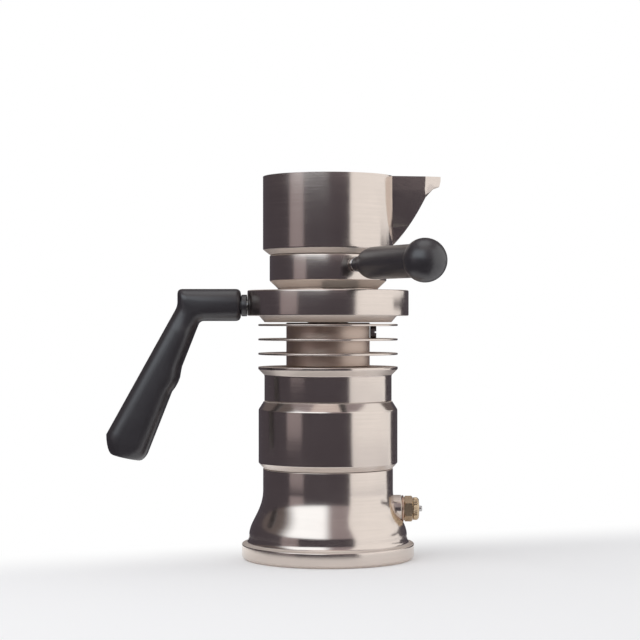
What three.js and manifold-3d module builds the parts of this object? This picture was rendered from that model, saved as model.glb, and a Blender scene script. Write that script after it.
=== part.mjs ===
// Stovetop espresso maker: a pressure boiler, a cooling boiler with a coil, a finned heat sink,
// a group head with a bayonet portafilter held upside down on it, and a jug that lifts off.
// Millimetres, +Z up. The origin is the middle of the sole, the main handle points to -X
// and the jug's spout to +X.
import * as THREE from 'three';
import { mergeVertices } from 'three/addons/utils/BufferGeometryUtils.js';
import Module from 'manifold-3d';

const wasm = await Module();
wasm.setup();

// Clearances that every piece shares
const seat = 0.3; // between two faces that rest on each other
const running = 0.6; // round a piece that turns in another
const overrun = 2; // how far a cut runs past what it cuts
const edge = 0.8; // broken edge of a turned rim

// Facets round a circle
const wideSteps = 32;
const middleSteps = 20;
const smallSteps = 12;
const hexSteps = 6;

// Lower boiler: a thick turned bell on a wide foot
const boiler = {
  footRadius: 51.6,
  footHeight: 9.1,
  soleEdge: 1.6,
  coveDepth: 3.2,
  coveStep: 1.2,
  coveHeight: 6.1,
  bellHeight: 25.8,
  neckRadius: 38.9,
  neckHeight: 12.7,
  spigotRadius: 36.5,
  spigotHeight: 10,
  spigotWall: 5.5,
  bellWall: 6.5,
  floor: 6,
  floorCorner: 5,
};
const coveSteps = 3;
const bellSteps = 7;
const bellInsideSteps = 4;
const bellFootPullShare = 0.31; // how far the bell's foot runs nearly upright
const bellNeckPullShare = 0.47; // how far its top runs upright into the neck
const bellFootLeanShare = 0.13; // how far the foot leans in by then

// Relief valve, screwed radially into the bell, on its own axis from the boiler's middle
const relief = {
  height: 29.4,
  azimuth: 0,
  bossRadius: 8.2,
  bossFace: 43.9,
  washer: 1,
  washerRadius: 7.9,
  shankRadius: 6.3,
  shankEnd: 34.3,
  seatDepth: 3.3,
  inletRadius: 1.6,
  chamberRadius: 4.7,
  hexFlats: 13.4,
  hexLength: 5.2,
  capRadius: 6.8,
  capLength: 3.4,
  capEdge: 1.1,
  capSpigot: 2.6,
  pistonRadius: 4.2,
  pistonLength: 2,
  stemRadius: 1.7,
  stemOut: 2, // how far the stem shows past the cap
  springRadius: 3.1,
  wireRadius: 0.45,
};
const reliefCurls = 4;

// Boiler gasket, on the lower boiler's rim
const gasket = { thickness: 3 };

// Union: the middle body that screws onto the lower boiler and holds the coil
const union = {
  radius: 41.6,
  height: 40,
  bevelHeight: 3.3,
  bevelDepth: 3,
  chamferHeight: 5,
  chamferDepth: 3.2,
  diaphragm: 4,
  chamberRadius: 37,
};

// Outlet valve, in the middle of the diaphragm, with the suction tube under it
const outlet = {
  shankRadius: 6,
  shankLength: 13,
  tubeSocket: 5,
  boreRadius: 2,
  hexFlats: 17,
  hexHeight: 4.7,
  bodyRadius: 7.6,
  bodyHeight: 9,
  chamberRadius: 5.4,
  seatHeight: 1,
  poppetRadius: 4.8,
  poppetThickness: 2,
  noseRadius: 1.5,
  noseLength: 1.6,
  stemRadius: 1.6,
  stemLength: 5,
  capHeight: 3,
  capSpigot: 1.8,
  springRadius: 3.6,
  wireRadius: 0.5,
  portHeight: 8,
};
const outletCurls = 4;
const springSides = 5;
const springStepsPerCurl = 8;
const suction = { radius: 3, wall: 0.9, floorGap: 4 };

// Cooling coil, one tube from the outlet valve up to the heat sink
const coil = { tubeRadius: 2.5, radius: 27.5, pitch: 6.5, bend: 5 };
const coilLoops = 3.5;
const coilStepsPerLoop = 24;
const coilSides = 6;
const coilBendSteps = 4;
const coilInwardShare = 0.65; // where a point lies on the way in from the last loop to the bend

// Upper boiler: the cooling water's shell, with a flange like one more fin at its top
const upper = {
  radius: 38.1,
  height: 20.3,
  skirtLength: 8,
  skirtRadius: 36.5,
  skirtWall: 2.5,
  bevelHeight: 3.7,
  flange: 1.4,
  plate: 4.3,
  sealHeight: 2,
};

// Heat sink: a core with fins pressed on it
const sink = {
  coreRadius: 25,
  height: 26,
  spigotRadius: 12,
  lowerSpigot: 6.9,
  upperSpigot: 4.3,
  boreRadius: 2.5,
  finRadius: 41.8,
  finThickness: 1.2,
  finPitch: 8.6,
  topGap: 0.8,
};
const finCount = 3;
const plug = {
  headFlats: 6.2,
  headLength: 3.6,
  shankRadius: 2,
  shankLength: 8,
  belowTop: 5.7,
};

// Group head: the dish that the portafilter locks into
const group = {
  radius: 48.3,
  height: 19.1,
  neckRadius: 38,
  neckHeight: 3.8,
  neckBevel: 3.3,
  floor: 6.3,
  bossHeight: 3.5,
  spreadDepth: 0.8,
  spreadRadius: 20,
  gasketInner: 24.8,
  gasketOuter: 33,
  gasketHeight: 5,
  screenThickness: 0.8,
  screenHoleRadius: 0.7,
};
const lugCount = 3;
const lugSpread = THREE.MathUtils.degToRad(36);
const slotSpread = THREE.MathUtils.degToRad(44);
const lockTurn = THREE.MathUtils.degToRad(45);
const sectorSteps = 4;
const screenRings = 2;
const holesInRing = 6; // in the first ring round the middle hole, and that many more in each next one

// Main handle, on a stud in the group head's side
const handle = {
  studRadius: 3,
  studInside: 7.3,
  studReach: 17.4,
  studHeight: 10,
  collarRadius: 6.5,
  collarLength: 3.4,
  rise: 9.9,
  fall: 9.3,
  rootHeight: 12.2,
  rootBevel: 2.7,
  reach: 90.3,
  bendDepth: 13.5, // between the bend's outer and inner corner
  shoulder: 10.2,
  gripFall: 84.6,
  tipFall: 76.8,
  tipCut: 10.8,
  fingerRest: 1.3,
  armWidth: 17,
  gripWidth: 23,
};
const outerLean = THREE.MathUtils.degToRad(28.9);
const innerLean = THREE.MathUtils.degToRad(21.6);
const handleCornerShare = 0.62; // how much of a rib's half width its rounded corners take
const handleBulgeShare = 0.29; // how far in the middle of a rounded corner lies
const gripRibShares = { top: 0.06, upper: 0.2, lower: 0.75 }; // down the grip, beside the finger rest
const tipInnerShares = [0.9, 0.97]; // where the rounded tip's ribs meet the inner side
const tipWidthShares = [1, 0.85, 0.3]; // how the tip narrows
const tipCutShare = 0.14; // how far in the last rib starts
const fingerRestShares = [0.34, 0.38, 0.45, 0.5]; // down the grip: start, crest, crest, end

// Portafilter, mouth down
const filter = {
  radius: 35,
  height: 28.2,
  neckRadius: 30,
  neckHeight: 8.2,
  chamferHeight: 4.7,
  lugRadius: 36,
  lugHeight: 3,
  boreRadius: 25.7,
  boreHeight: 18.2,
  plateHeight: 21.5,
  handleAzimuth: THREE.MathUtils.degToRad(-63),
  handleHeight: 21.9,
  clipHeight: 14.8,
  clipGroove: 1.5,
  clipGrooveDepth: 1.3,
};
const basket = {
  radius: 25.2,
  rimRadius: 28,
  wall: 0.6,
  rim: 1,
  height: 17.9,
  holeRadius: 0.5,
  holePitch: 7.6,
};
const clip = { wireRadius: 0.5, radius: 26.25, opening: THREE.MathUtils.degToRad(28) };
const clipSteps = 20;
const basketRings = 2;
const nipple = {
  radius: 5.9,
  boreRadius: 3,
  flangeRadius: 8.5,
  flange: 1.6,
  rise: 10.8,
  ringDrop: 3,
  ringRadius: 0.75,
  grooveWidth: 2.2,
};
const sealSides = 6;
const lever = {
  studRadius: 3,
  studStart: 29.3,
  studEnd: 60,
  collarRadius: 4.6,
  collarLength: 2.6,
  neckRadius: 4.4,
  neckLength: 3,
  flareLength: 17,
  barRadius: 9.35,
  ballRadius: 12.25,
  ballReach: 115,
};
const flareSteps = 5;
const ballSteps = 8;

// Jug with its spout and the column that the coffee rises through
const jug = {
  radius: 39,
  height: 46.7,
  wall: 1.6,
  bevelHeight: 3.1,
  bevelDepth: 4,
  floor: 2.6,
  columnRadius: 7.5,
  columnHeight: 33,
  columnRecess: 1, // from the jug's underside up to the column's foot
  columnWall: 3,
  columnFlange: 11,
  columnFlangeHeight: 1.5,
  columnDome: 2.4,
  socketDepth: 11.5,
  portRadius: 2.2,
  portDrop: 6,
};
const spout = {
  foot: 5.9, // where the spout leaves the wall, above the jug's underside
  bendHeight: 34.4, // where the lip leaves the beak
  lipHeight: 39.9,
  beakReach: 58.2,
  lipOverhang: 9.3, // how far the lip stands out past the beak
  beakHalfWidth: 9.3,
  noseHalfWidth: 2.6,
  lipHalfWidth: 1.9,
  root: 30, // where the loft starts, inside the jug's wall
};
const columnDomeShare = 0.7; // how high the column's rounded shoulder lies in its dome
const beakSteps = 6;
const beakBulgeShares = [0.56, 0.4]; // the beak's keel: how far out, how far up, its control point lies

// Levels of the stacked pieces
const level = {};
level.bellFoot = boiler.footHeight + boiler.coveHeight;
level.neck = level.bellFoot + boiler.bellHeight;
level.shoulder = level.neck + boiler.neckHeight;
level.rim = level.shoulder + boiler.spigotHeight;
level.union = level.shoulder + seat;
level.gasket = level.rim + seat;
level.diaphragm = level.gasket + gasket.thickness + seat;
level.chamber = level.diaphragm + union.diaphragm;
level.unionTop = level.union + union.height;
level.upper = level.unionTop + seat;
level.upperTop = level.upper + upper.height;
level.sink = level.upperTop + seat;
level.sinkTop = level.sink + sink.height;
level.group = level.sinkTop + seat;
level.groupTop = level.group + group.height;
level.gasketSeat = level.group + group.floor + seat;
level.filter = level.gasketSeat + group.gasketHeight + seat;
level.jug = level.filter + filter.height + seat;

// A closed geometry made into a solid: shared corners merged, empty triangles left out, faces outward
function solid(geometry) {
  geometry.deleteAttribute('normal');
  geometry.deleteAttribute('uv');
  const merged = mergeVertices(geometry);
  const place = merged.attributes.position.array;
  const corners = merged.index.array;
  const kept = [];
  for (let i = 0; i < corners.length; i += 3) {
    const [a, b, c] = [corners[i], corners[i + 1], corners[i + 2]];
    if (a !== b && b !== c && c !== a) kept.push(a, b, c);
  }
  const [p, q, r] = [new THREE.Vector3(), new THREE.Vector3(), new THREE.Vector3()];
  let volume = 0;
  for (let i = 0; i < kept.length; i += 3) {
    p.fromArray(place, 3 * kept[i]);
    q.fromArray(place, 3 * kept[i + 1]);
    r.fromArray(place, 3 * kept[i + 2]);
    volume += p.dot(q.cross(r));
  }
  if (volume < 0) kept.reverse();
  const triVerts = new Uint32Array(kept);
  const vertProperties = new Float32Array(place);
  return new wasm.Manifold(new wasm.Mesh({ numProp: 3, vertProperties, triVerts }));
}

// A profile of [radius, height] points turned about Z
function turn(profile, steps) {
  const points = profile.map(([radius, height]) => new THREE.Vector2(radius, height));
  if (profile[0][0] > 0) points.push(points[0].clone());
  return new THREE.LatheGeometry(points, steps).rotateX(Math.PI / 2);
}

function turned(profile, steps) {
  return solid(turn(profile, steps));
}

function rod(radius, from, to, steps) {
  return turn([[0, from], [radius, from], [radius, to], [0, to]], steps);
}

function ring(inner, outer, from, to, steps) {
  return turn([[inner, from], [outer, from], [outer, to], [inner, to]], steps);
}

// A bar of six sides, by the distance across its flats
function hexBar(flats, from, to) {
  return rod(flats / Math.sqrt(3), from, to, hexSteps);
}

// A geometry made along Z, laid out from the axis at an azimuth and a height
function radial(geometry, azimuth, height) {
  return geometry.rotateY(Math.PI / 2).rotateZ(azimuth).translate(0, 0, height);
}

// A block between two radii, two heights and two angles
function sector(inner, outer, from, to, middle, spread) {
  const shape = new THREE.Shape();
  shape.absarc(0, 0, outer, middle - spread / 2, middle + spread / 2, false);
  shape.absarc(0, 0, inner, middle + spread / 2, middle - spread / 2, true);
  const settings = { depth: to - from, bevelEnabled: false, curveSegments: sectorSteps };
  return solid(new THREE.ExtrudeGeometry(shape, settings).translate(0, 0, from));
}

// A skin over rings of points, closed at both ends
function loft(rings) {
  const place = [];
  const corners = [];
  const count = rings[0].length;
  for (const one of rings) for (const point of one) place.push(point.x, point.y, point.z);
  for (let i = 0; i + 1 < rings.length; i += 1) {
    for (let j = 0; j < count; j += 1) {
      const [a, b] = [i * count + j, i * count + ((j + 1) % count)];
      corners.push(a, b, b + count, a, b + count, a + count);
    }
  }
  for (const end of [0, rings.length - 1]) {
    const middle = rings[end].reduce((sum, point) => sum.add(point), new THREE.Vector3());
    middle.divideScalar(count);
    place.push(middle.x, middle.y, middle.z);
    const hub = place.length / 3 - 1;
    for (let j = 0; j < count; j += 1) {
      const [a, b] = [end * count + j, end * count + ((j + 1) % count)];
      corners.push(...(end === 0 ? [b, a, hub] : [a, b, hub]));
    }
  }
  const geometry = new THREE.BufferGeometry();
  geometry.setAttribute('position', new THREE.Float32BufferAttribute(place, 3));
  geometry.setIndex(corners);
  return solid(geometry);
}

// A round bar of a few sides along a curve
function bent(curve, radius, sides, steps) {
  const section = [];
  for (let i = 0; i < sides; i += 1) {
    const angle = (2 * Math.PI * i) / sides;
    section.push(new THREE.Vector2(radius * Math.cos(angle), radius * Math.sin(angle)));
  }
  const settings = { steps, extrudePath: curve, bevelEnabled: false };
  return solid(new THREE.ExtrudeGeometry(new THREE.Shape(section), settings));
}

// The least air between a tube's turns, measured on points along it
function leastGap(curve, radius, loops, name) {
  const count = Math.round(loops * coilStepsPerLoop);
  const points = curve.getSpacedPoints(count);
  const apart = Math.round(coilStepsPerLoop / 2);
  let least = Infinity;
  for (let i = 0; i < points.length; i += 1) {
    for (let j = i + apart; j < points.length; j += 1) {
      least = Math.min(least, points[i].distanceTo(points[j]));
    }
  }
  console.log(`${name}: least gap between turns ${(least - 2 * radius).toFixed(2)} mm`);
}

// A compression spring standing on z = 0
function spring(radius, wireRadius, length, curls, name) {
  const points = [];
  for (let i = 0; i <= curls * springStepsPerCurl; i += 1) {
    const angle = (2 * Math.PI * i) / springStepsPerCurl;
    const rise = wireRadius + ((length - 2 * wireRadius) * i) / (curls * springStepsPerCurl);
    points.push(new THREE.Vector3(radius * Math.cos(angle), radius * Math.sin(angle), rise));
  }
  const curve = new THREE.CatmullRomCurve3(points);
  leastGap(curve, wireRadius, curls, name);
  return bent(curve, wireRadius, springSides, curls * springStepsPerCurl);
}

// Finishes
const nickel = { color: 0x8f8683, roughness: 0.24, metalness: 1 };
const copperTint = { color: 0x9c8377, roughness: 0.2, metalness: 1 };
const brass = { color: 0xa8875a, roughness: 0.32, metalness: 1 };
const steel = { color: 0xb4b2b0, roughness: 0.3, metalness: 1 };
const silicone = { color: 0xb9553c, roughness: 0.6, metalness: 0 };
const nylon = { color: 0x2a2729, roughness: 0.45, metalness: 0 };

// One named piece from a solid
function piece(name, shape, finish) {
  const data = shape.getMesh();
  const geometry = new THREE.BufferGeometry();
  geometry.setAttribute('position', new THREE.BufferAttribute(data.vertProperties, 3));
  geometry.setIndex(new THREE.BufferAttribute(data.triVerts, 1));
  geometry.computeVertexNormals();
  const mesh = new THREE.Mesh(geometry, new THREE.MeshStandardMaterial(finish));
  mesh.name = name;
  return mesh;
}

// The bell's outline from its foot up to the neck, for a given foot and top radius
function bellLine(footRadius, footHeight, topRadius, topHeight, steps) {
  const rise = topHeight - footHeight;
  const fall = footRadius - topRadius;
  const curve = new THREE.CubicBezierCurve(
    new THREE.Vector2(footRadius, footHeight),
    new THREE.Vector2(footRadius - bellFootLeanShare * fall, footHeight + bellFootPullShare * rise),
    new THREE.Vector2(topRadius, topHeight - bellNeckPullShare * rise),
    new THREE.Vector2(topRadius, topHeight),
  );
  return curve.getPoints(steps).map((point) => [point.x, point.y]);
}

function makeLowerBoiler() {
  const coveRadius = boiler.footRadius - boiler.coveStep;
  const bellFootRadius = coveRadius - boiler.coveDepth;
  const cove = new THREE.QuadraticBezierCurve(
    new THREE.Vector2(coveRadius, boiler.footHeight),
    new THREE.Vector2(bellFootRadius, boiler.footHeight),
    new THREE.Vector2(bellFootRadius, level.bellFoot),
  );
  const boreRadius = boiler.spigotRadius - boiler.spigotWall;
  const boreFoot = bellFootRadius - boiler.bellWall;
  const boreFootHeight = boiler.floor + boiler.floorCorner;
  const outside = [
    [0, 0],
    [boiler.footRadius - boiler.soleEdge, 0],
    [boiler.footRadius, boiler.soleEdge],
    [boiler.footRadius, boiler.footHeight - edge],
    [boiler.footRadius - edge, boiler.footHeight],
    ...cove.getPoints(coveSteps).map((point) => [point.x, point.y]),
    ...bellLine(bellFootRadius, level.bellFoot, boiler.neckRadius, level.neck, bellSteps).slice(1),
    [boiler.neckRadius, level.shoulder],
    [boiler.spigotRadius, level.shoulder],
    [boiler.spigotRadius, level.rim - edge],
    [boiler.spigotRadius - edge, level.rim],
    [boreRadius, level.rim],
  ];
  const inside = bellLine(boreFoot, boreFootHeight, boreRadius, level.neck, bellInsideSteps).reverse();
  const body = turned(
    [...outside, ...inside, [boreFoot - boiler.floorCorner, boiler.floor], [0, boiler.floor]],
    wideSteps,
  );
  const bossRoot = boreRadius + boiler.bellWall;
  const along = (geometry) => solid(radial(geometry, relief.azimuth, relief.height));
  const boss = along(rod(relief.bossRadius, bossRoot, relief.bossFace, middleSteps));
  const spotFace = along(rod(relief.bossRadius + seat, relief.bossFace, boiler.footRadius, middleSteps));
  const holeRadius = relief.shankRadius + seat;
  const hole = along(rod(holeRadius, relief.shankEnd - overrun, relief.bossFace + overrun, middleSteps));
  return piece('lower_boiler', body.add(boss).subtract(spotFace).subtract(hole), nickel);
}

// The relief valve's pieces, along the valve's own axis from the boiler's middle
function makeReliefValve() {
  const valve = new THREE.Group();
  valve.position.z = relief.height;
  valve.rotation.set(0, Math.PI / 2, relief.azimuth, 'ZYX');
  const washerStart = relief.bossFace + seat;
  const washerEnd = washerStart + relief.washer;
  const hexStart = washerEnd + seat;
  const hexEnd = hexStart + relief.hexLength;
  const capStart = hexEnd + seat;
  const capEnd = capStart + relief.capLength;
  const chamberStart = relief.shankEnd + relief.seatDepth;
  const pistonStart = chamberStart + seat;
  const springStart = pistonStart + relief.pistonLength + seat;
  const springEnd = capStart - relief.capSpigot - seat;
  const stemRound = relief.stemRadius / 2;

  const washerHole = relief.shankRadius + seat;
  const washer = ring(washerHole, relief.washerRadius, washerStart, washerEnd, middleSteps);
  valve.add(piece('relief_valve_washer', solid(washer), copperTint));

  const body = solid(rod(relief.shankRadius, relief.shankEnd, hexStart + seat, middleSteps))
    .add(solid(hexBar(relief.hexFlats, hexStart, hexEnd)))
    .subtract(solid(rod(relief.chamberRadius, chamberStart, hexEnd + overrun, middleSteps)))
    .subtract(solid(rod(relief.inletRadius, relief.shankEnd - overrun, hexStart, smallSteps)));
  valve.add(piece('relief_valve_body', body, brass));

  const stemHole = relief.stemRadius + running / 2;
  const spigotRadius = relief.chamberRadius - seat;
  const cap = turned([
    [stemHole, capStart - relief.capSpigot],
    [spigotRadius, capStart - relief.capSpigot],
    [spigotRadius, capStart],
    [relief.capRadius, capStart],
    [relief.capRadius, capEnd - relief.capEdge],
    [relief.capRadius - relief.capEdge, capEnd],
    [stemHole, capEnd],
  ], middleSteps);
  valve.add(piece('relief_valve_cap', cap, brass));

  const piston = turned([
    [0, pistonStart],
    [relief.pistonRadius, pistonStart],
    [relief.pistonRadius, pistonStart + relief.pistonLength],
    [relief.stemRadius, pistonStart + relief.pistonLength],
    [relief.stemRadius, capEnd + relief.stemOut - stemRound],
    [relief.stemRadius - stemRound, capEnd + relief.stemOut],
    [0, capEnd + relief.stemOut],
  ], smallSteps);
  valve.add(piece('relief_plunger', piston, steel));

  const length = springEnd - springStart;
  const wound = spring(relief.springRadius, relief.wireRadius, length, reliefCurls, 'relief_spring');
  const coiled = piece('relief_spring', wound, steel);
  coiled.position.z = springStart;
  valve.add(coiled);
  return valve;
}

function makeBoilerGasket() {
  const inner = boiler.spigotRadius - boiler.spigotWall;
  const shape = ring(inner, boiler.spigotRadius, level.gasket, level.gasket + gasket.thickness, wideSteps);
  return piece('boiler_gasket', solid(shape), silicone);
}

function makeUnion() {
  const socket = boiler.spigotRadius + running;
  const valveHole = outlet.shankRadius + seat;
  const body = turned([
    [socket, level.union],
    [union.radius - union.bevelDepth, level.union],
    [union.radius, level.union + union.bevelHeight],
    [union.radius, level.unionTop - union.chamferHeight],
    [union.radius - union.chamferDepth, level.unionTop],
    [union.chamberRadius, level.unionTop],
    [union.chamberRadius, level.chamber],
    [valveHole, level.chamber],
    [valveHole, level.diaphragm],
    [socket, level.diaphragm],
  ], wideSteps);
  return piece('boiler_union', body, nickel);
}

// The outlet valve's pieces, with z = 0 on the top of the diaphragm
function makeOutletValve() {
  const valve = new THREE.Group();
  valve.position.z = level.chamber;
  const hexTop = seat + outlet.hexHeight;
  const bodyTop = hexTop + outlet.bodyHeight;
  const chamberFloor = seat + outlet.seatHeight;
  const capFoot = bodyTop + seat;
  const poppetFoot = chamberFloor + seat;
  const poppetTop = poppetFoot + outlet.poppetThickness;
  const springFoot = poppetTop + seat;
  const spigotFoot = capFoot - outlet.capSpigot;
  const springTop = spigotFoot - seat;
  const tubeHole = suction.radius + seat;
  const shankFoot = -outlet.shankLength;
  const socketTop = shankFoot + outlet.tubeSocket;
  const port = rod(outlet.boreRadius, 0, outlet.bodyRadius + overrun, smallSteps);

  const body = solid(rod(outlet.shankRadius, shankFoot, hexTop, middleSteps))
    .add(solid(hexBar(outlet.hexFlats, seat, hexTop)))
    .add(solid(rod(outlet.bodyRadius, hexTop - seat, bodyTop, middleSteps)))
    .subtract(solid(rod(outlet.chamberRadius, chamberFloor, bodyTop + overrun, middleSteps)))
    .subtract(solid(rod(outlet.boreRadius, shankFoot - overrun, hexTop, smallSteps)))
    .subtract(solid(rod(tubeHole, shankFoot - overrun, socketTop, smallSteps)))
    .subtract(solid(radial(port, 0, outlet.portHeight)));
  valve.add(piece('outlet_valve_body', body, brass));

  const poppet = turned([
    [0, poppetFoot - outlet.noseLength],
    [outlet.noseRadius, poppetFoot - outlet.noseLength],
    [outlet.noseRadius, poppetFoot],
    [outlet.poppetRadius, poppetFoot],
    [outlet.poppetRadius, poppetTop],
    [outlet.stemRadius, poppetTop],
    [outlet.stemRadius, poppetTop + outlet.stemLength],
    [0, poppetTop + outlet.stemLength],
  ], smallSteps);
  valve.add(piece('outlet_poppet', poppet, steel));

  const length = springTop - springFoot;
  const wound = spring(outlet.springRadius, outlet.wireRadius, length, outletCurls, 'outlet_spring');
  const coiled = piece('outlet_spring', wound, steel);
  coiled.position.z = springFoot;
  valve.add(coiled);

  const capFlats = 2 * outlet.bodyRadius * Math.cos(Math.PI / hexSteps);
  const capSpigot = rod(outlet.chamberRadius - seat, spigotFoot, capFoot + seat, middleSteps);
  const cap = solid(hexBar(capFlats, capFoot, capFoot + outlet.capHeight)).add(solid(capSpigot));
  valve.add(piece('outlet_valve_cap', cap, brass));

  const tubeTop = socketTop - seat;
  const tubeFoot = boiler.floor + suction.floorGap - level.chamber;
  const tube = ring(suction.radius - suction.wall, suction.radius, tubeFoot, tubeTop, smallSteps);
  valve.add(piece('suction_tube', solid(tube), steel));
  return valve;
}

// The coil leaves the valve's port, winds up inside the chamber and turns into the heat sink's bore
function makeCoil() {
  const foot = level.chamber + outlet.portHeight;
  const top = foot + coil.pitch * coilLoops;
  const end = level.sink - sink.lowerSpigot + coil.tubeRadius;
  const start = outlet.bodyRadius + seat;
  const points = [];
  points.push(new THREE.Vector3(start, 0, foot));
  points.push(new THREE.Vector3(start + 2 * coil.tubeRadius, 0, foot));
  points.push(new THREE.Vector3(coil.radius - coil.bend, 0, foot));
  const count = coilLoops * coilStepsPerLoop;
  const lead = 1; // steps of the first and last loop that the bends take up
  for (let i = lead; i <= count - lead; i += 1) {
    const angle = (2 * Math.PI * i) / coilStepsPerLoop;
    const rise = foot + ((top - foot) * i) / count;
    points.push(new THREE.Vector3(coil.radius * Math.cos(angle), coil.radius * Math.sin(angle), rise));
  }
  const last = 2 * Math.PI * coilLoops;
  const inward = new THREE.Vector3(Math.cos(last), Math.sin(last), 0);
  for (const reach of [coil.radius - coil.bend, coilInwardShare * coil.radius, 2 * coil.bend]) {
    points.push(inward.clone().multiplyScalar(reach).setZ(top));
  }
  for (let i = 0; i <= coilBendSteps; i += 1) {
    const angle = (Math.PI * i) / (2 * coilBendSteps);
    const reach = coil.bend * (1 - Math.sin(angle));
    points.push(inward.clone().multiplyScalar(reach).setZ(top + coil.bend * (1 - Math.cos(angle))));
  }
  points.push(new THREE.Vector3(0, 0, (top + coil.bend + end) / 2));
  points.push(new THREE.Vector3(0, 0, end));
  const curve = new THREE.CatmullRomCurve3(points);
  leastGap(curve, coil.tubeRadius, curve.getLength() / (2 * Math.PI * coil.radius), 'cooling_coil');
  const steps = Math.round((coilStepsPerLoop * curve.getLength()) / (2 * Math.PI * coil.radius));
  return piece('cooling_coil', bent(curve, coil.tubeRadius, coilSides, steps), copperTint);
}

function makeUpperBoiler() {
  const skirtFoot = level.upper - upper.skirtLength;
  const plateFoot = level.upperTop - upper.plate;
  const flangeFoot = level.upperTop - upper.flange;
  const spigotHole = sink.spigotRadius + seat;
  const skirtInner = upper.skirtRadius - upper.skirtWall;
  return piece('upper_boiler', turned([
    [skirtInner, skirtFoot],
    [upper.skirtRadius, skirtFoot],
    [upper.skirtRadius, level.upper],
    [upper.radius, level.upper],
    [upper.radius, flangeFoot - upper.bevelHeight],
    [sink.finRadius, flangeFoot],
    [sink.finRadius, level.upperTop],
    [spigotHole, level.upperTop],
    [spigotHole, plateFoot],
    [skirtInner, plateFoot],
  ], wideSteps), nickel);
}

function makeChamberSeal() {
  const top = level.upper - upper.skirtLength - seat;
  const inner = upper.skirtRadius - upper.skirtWall;
  const shape = ring(inner, upper.skirtRadius, top - upper.sealHeight, top, wideSteps);
  return piece('chamber_seal', solid(shape), silicone);
}

function makeHeatSink() {
  const foot = level.sink - sink.lowerSpigot;
  const tubeHole = coil.tubeRadius + seat;
  const socketTop = foot + 2 * coil.tubeRadius;
  const core = turned([
    [tubeHole, foot],
    [sink.spigotRadius, foot],
    [sink.spigotRadius, level.sink],
    [sink.coreRadius, level.sink],
    [sink.coreRadius, level.sinkTop],
    [sink.spigotRadius, level.sinkTop],
    [sink.spigotRadius, level.sinkTop + sink.upperSpigot],
    [sink.boreRadius, level.sinkTop + sink.upperSpigot],
    [sink.boreRadius, socketTop],
    [tubeHole, socketTop],
  ], wideSteps);
  const plugHeight = level.sinkTop - plug.belowTop;
  const holeStart = sink.coreRadius - plug.shankLength - seat;
  const hole = rod(plug.shankRadius + seat, holeStart, sink.coreRadius + overrun, smallSteps);
  const drilled = core.subtract(solid(radial(hole, 0, plugHeight)));
  const parts = [piece('heat_sink_core', drilled, copperTint)];
  const topFin = level.sinkTop - sink.topGap - sink.finThickness;
  for (let i = 0; i < finCount; i += 1) {
    const shape = ring(sink.coreRadius + seat, sink.finRadius, 0, sink.finThickness, wideSteps);
    const fin = piece(`fin_${i + 1}`, solid(shape), nickel);
    fin.position.z = topFin - i * sink.finPitch;
    parts.push(fin);
  }
  const head = solid(hexBar(plug.headFlats, seat, seat + plug.headLength));
  const shank = solid(rod(plug.shankRadius, -plug.shankLength, 2 * seat, smallSteps));
  const vent = piece('vent_plug', head.add(shank), steel);
  vent.position.set(sink.coreRadius, 0, plugHeight);
  vent.rotation.y = Math.PI / 2;
  parts.push(vent);
  return parts;
}

// Holes on rings round the middle, as [radius, angle] pairs
function holeRings(pitch, rings) {
  const places = [[0, 0]];
  for (let i = 1; i <= rings; i += 1) {
    const count = holesInRing * i;
    for (let j = 0; j < count; j += 1) places.push([pitch * i, (2 * Math.PI * j) / count]);
  }
  return places;
}

function perforate(plate, pitch, rings, radius, from, to) {
  let result = plate;
  for (const [reach, angle] of holeRings(pitch, rings)) {
    const tool = rod(radius, from - overrun, to + overrun, hexSteps);
    tool.translate(reach * Math.cos(angle), reach * Math.sin(angle), 0);
    result = result.subtract(solid(tool));
  }
  return result;
}

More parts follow.
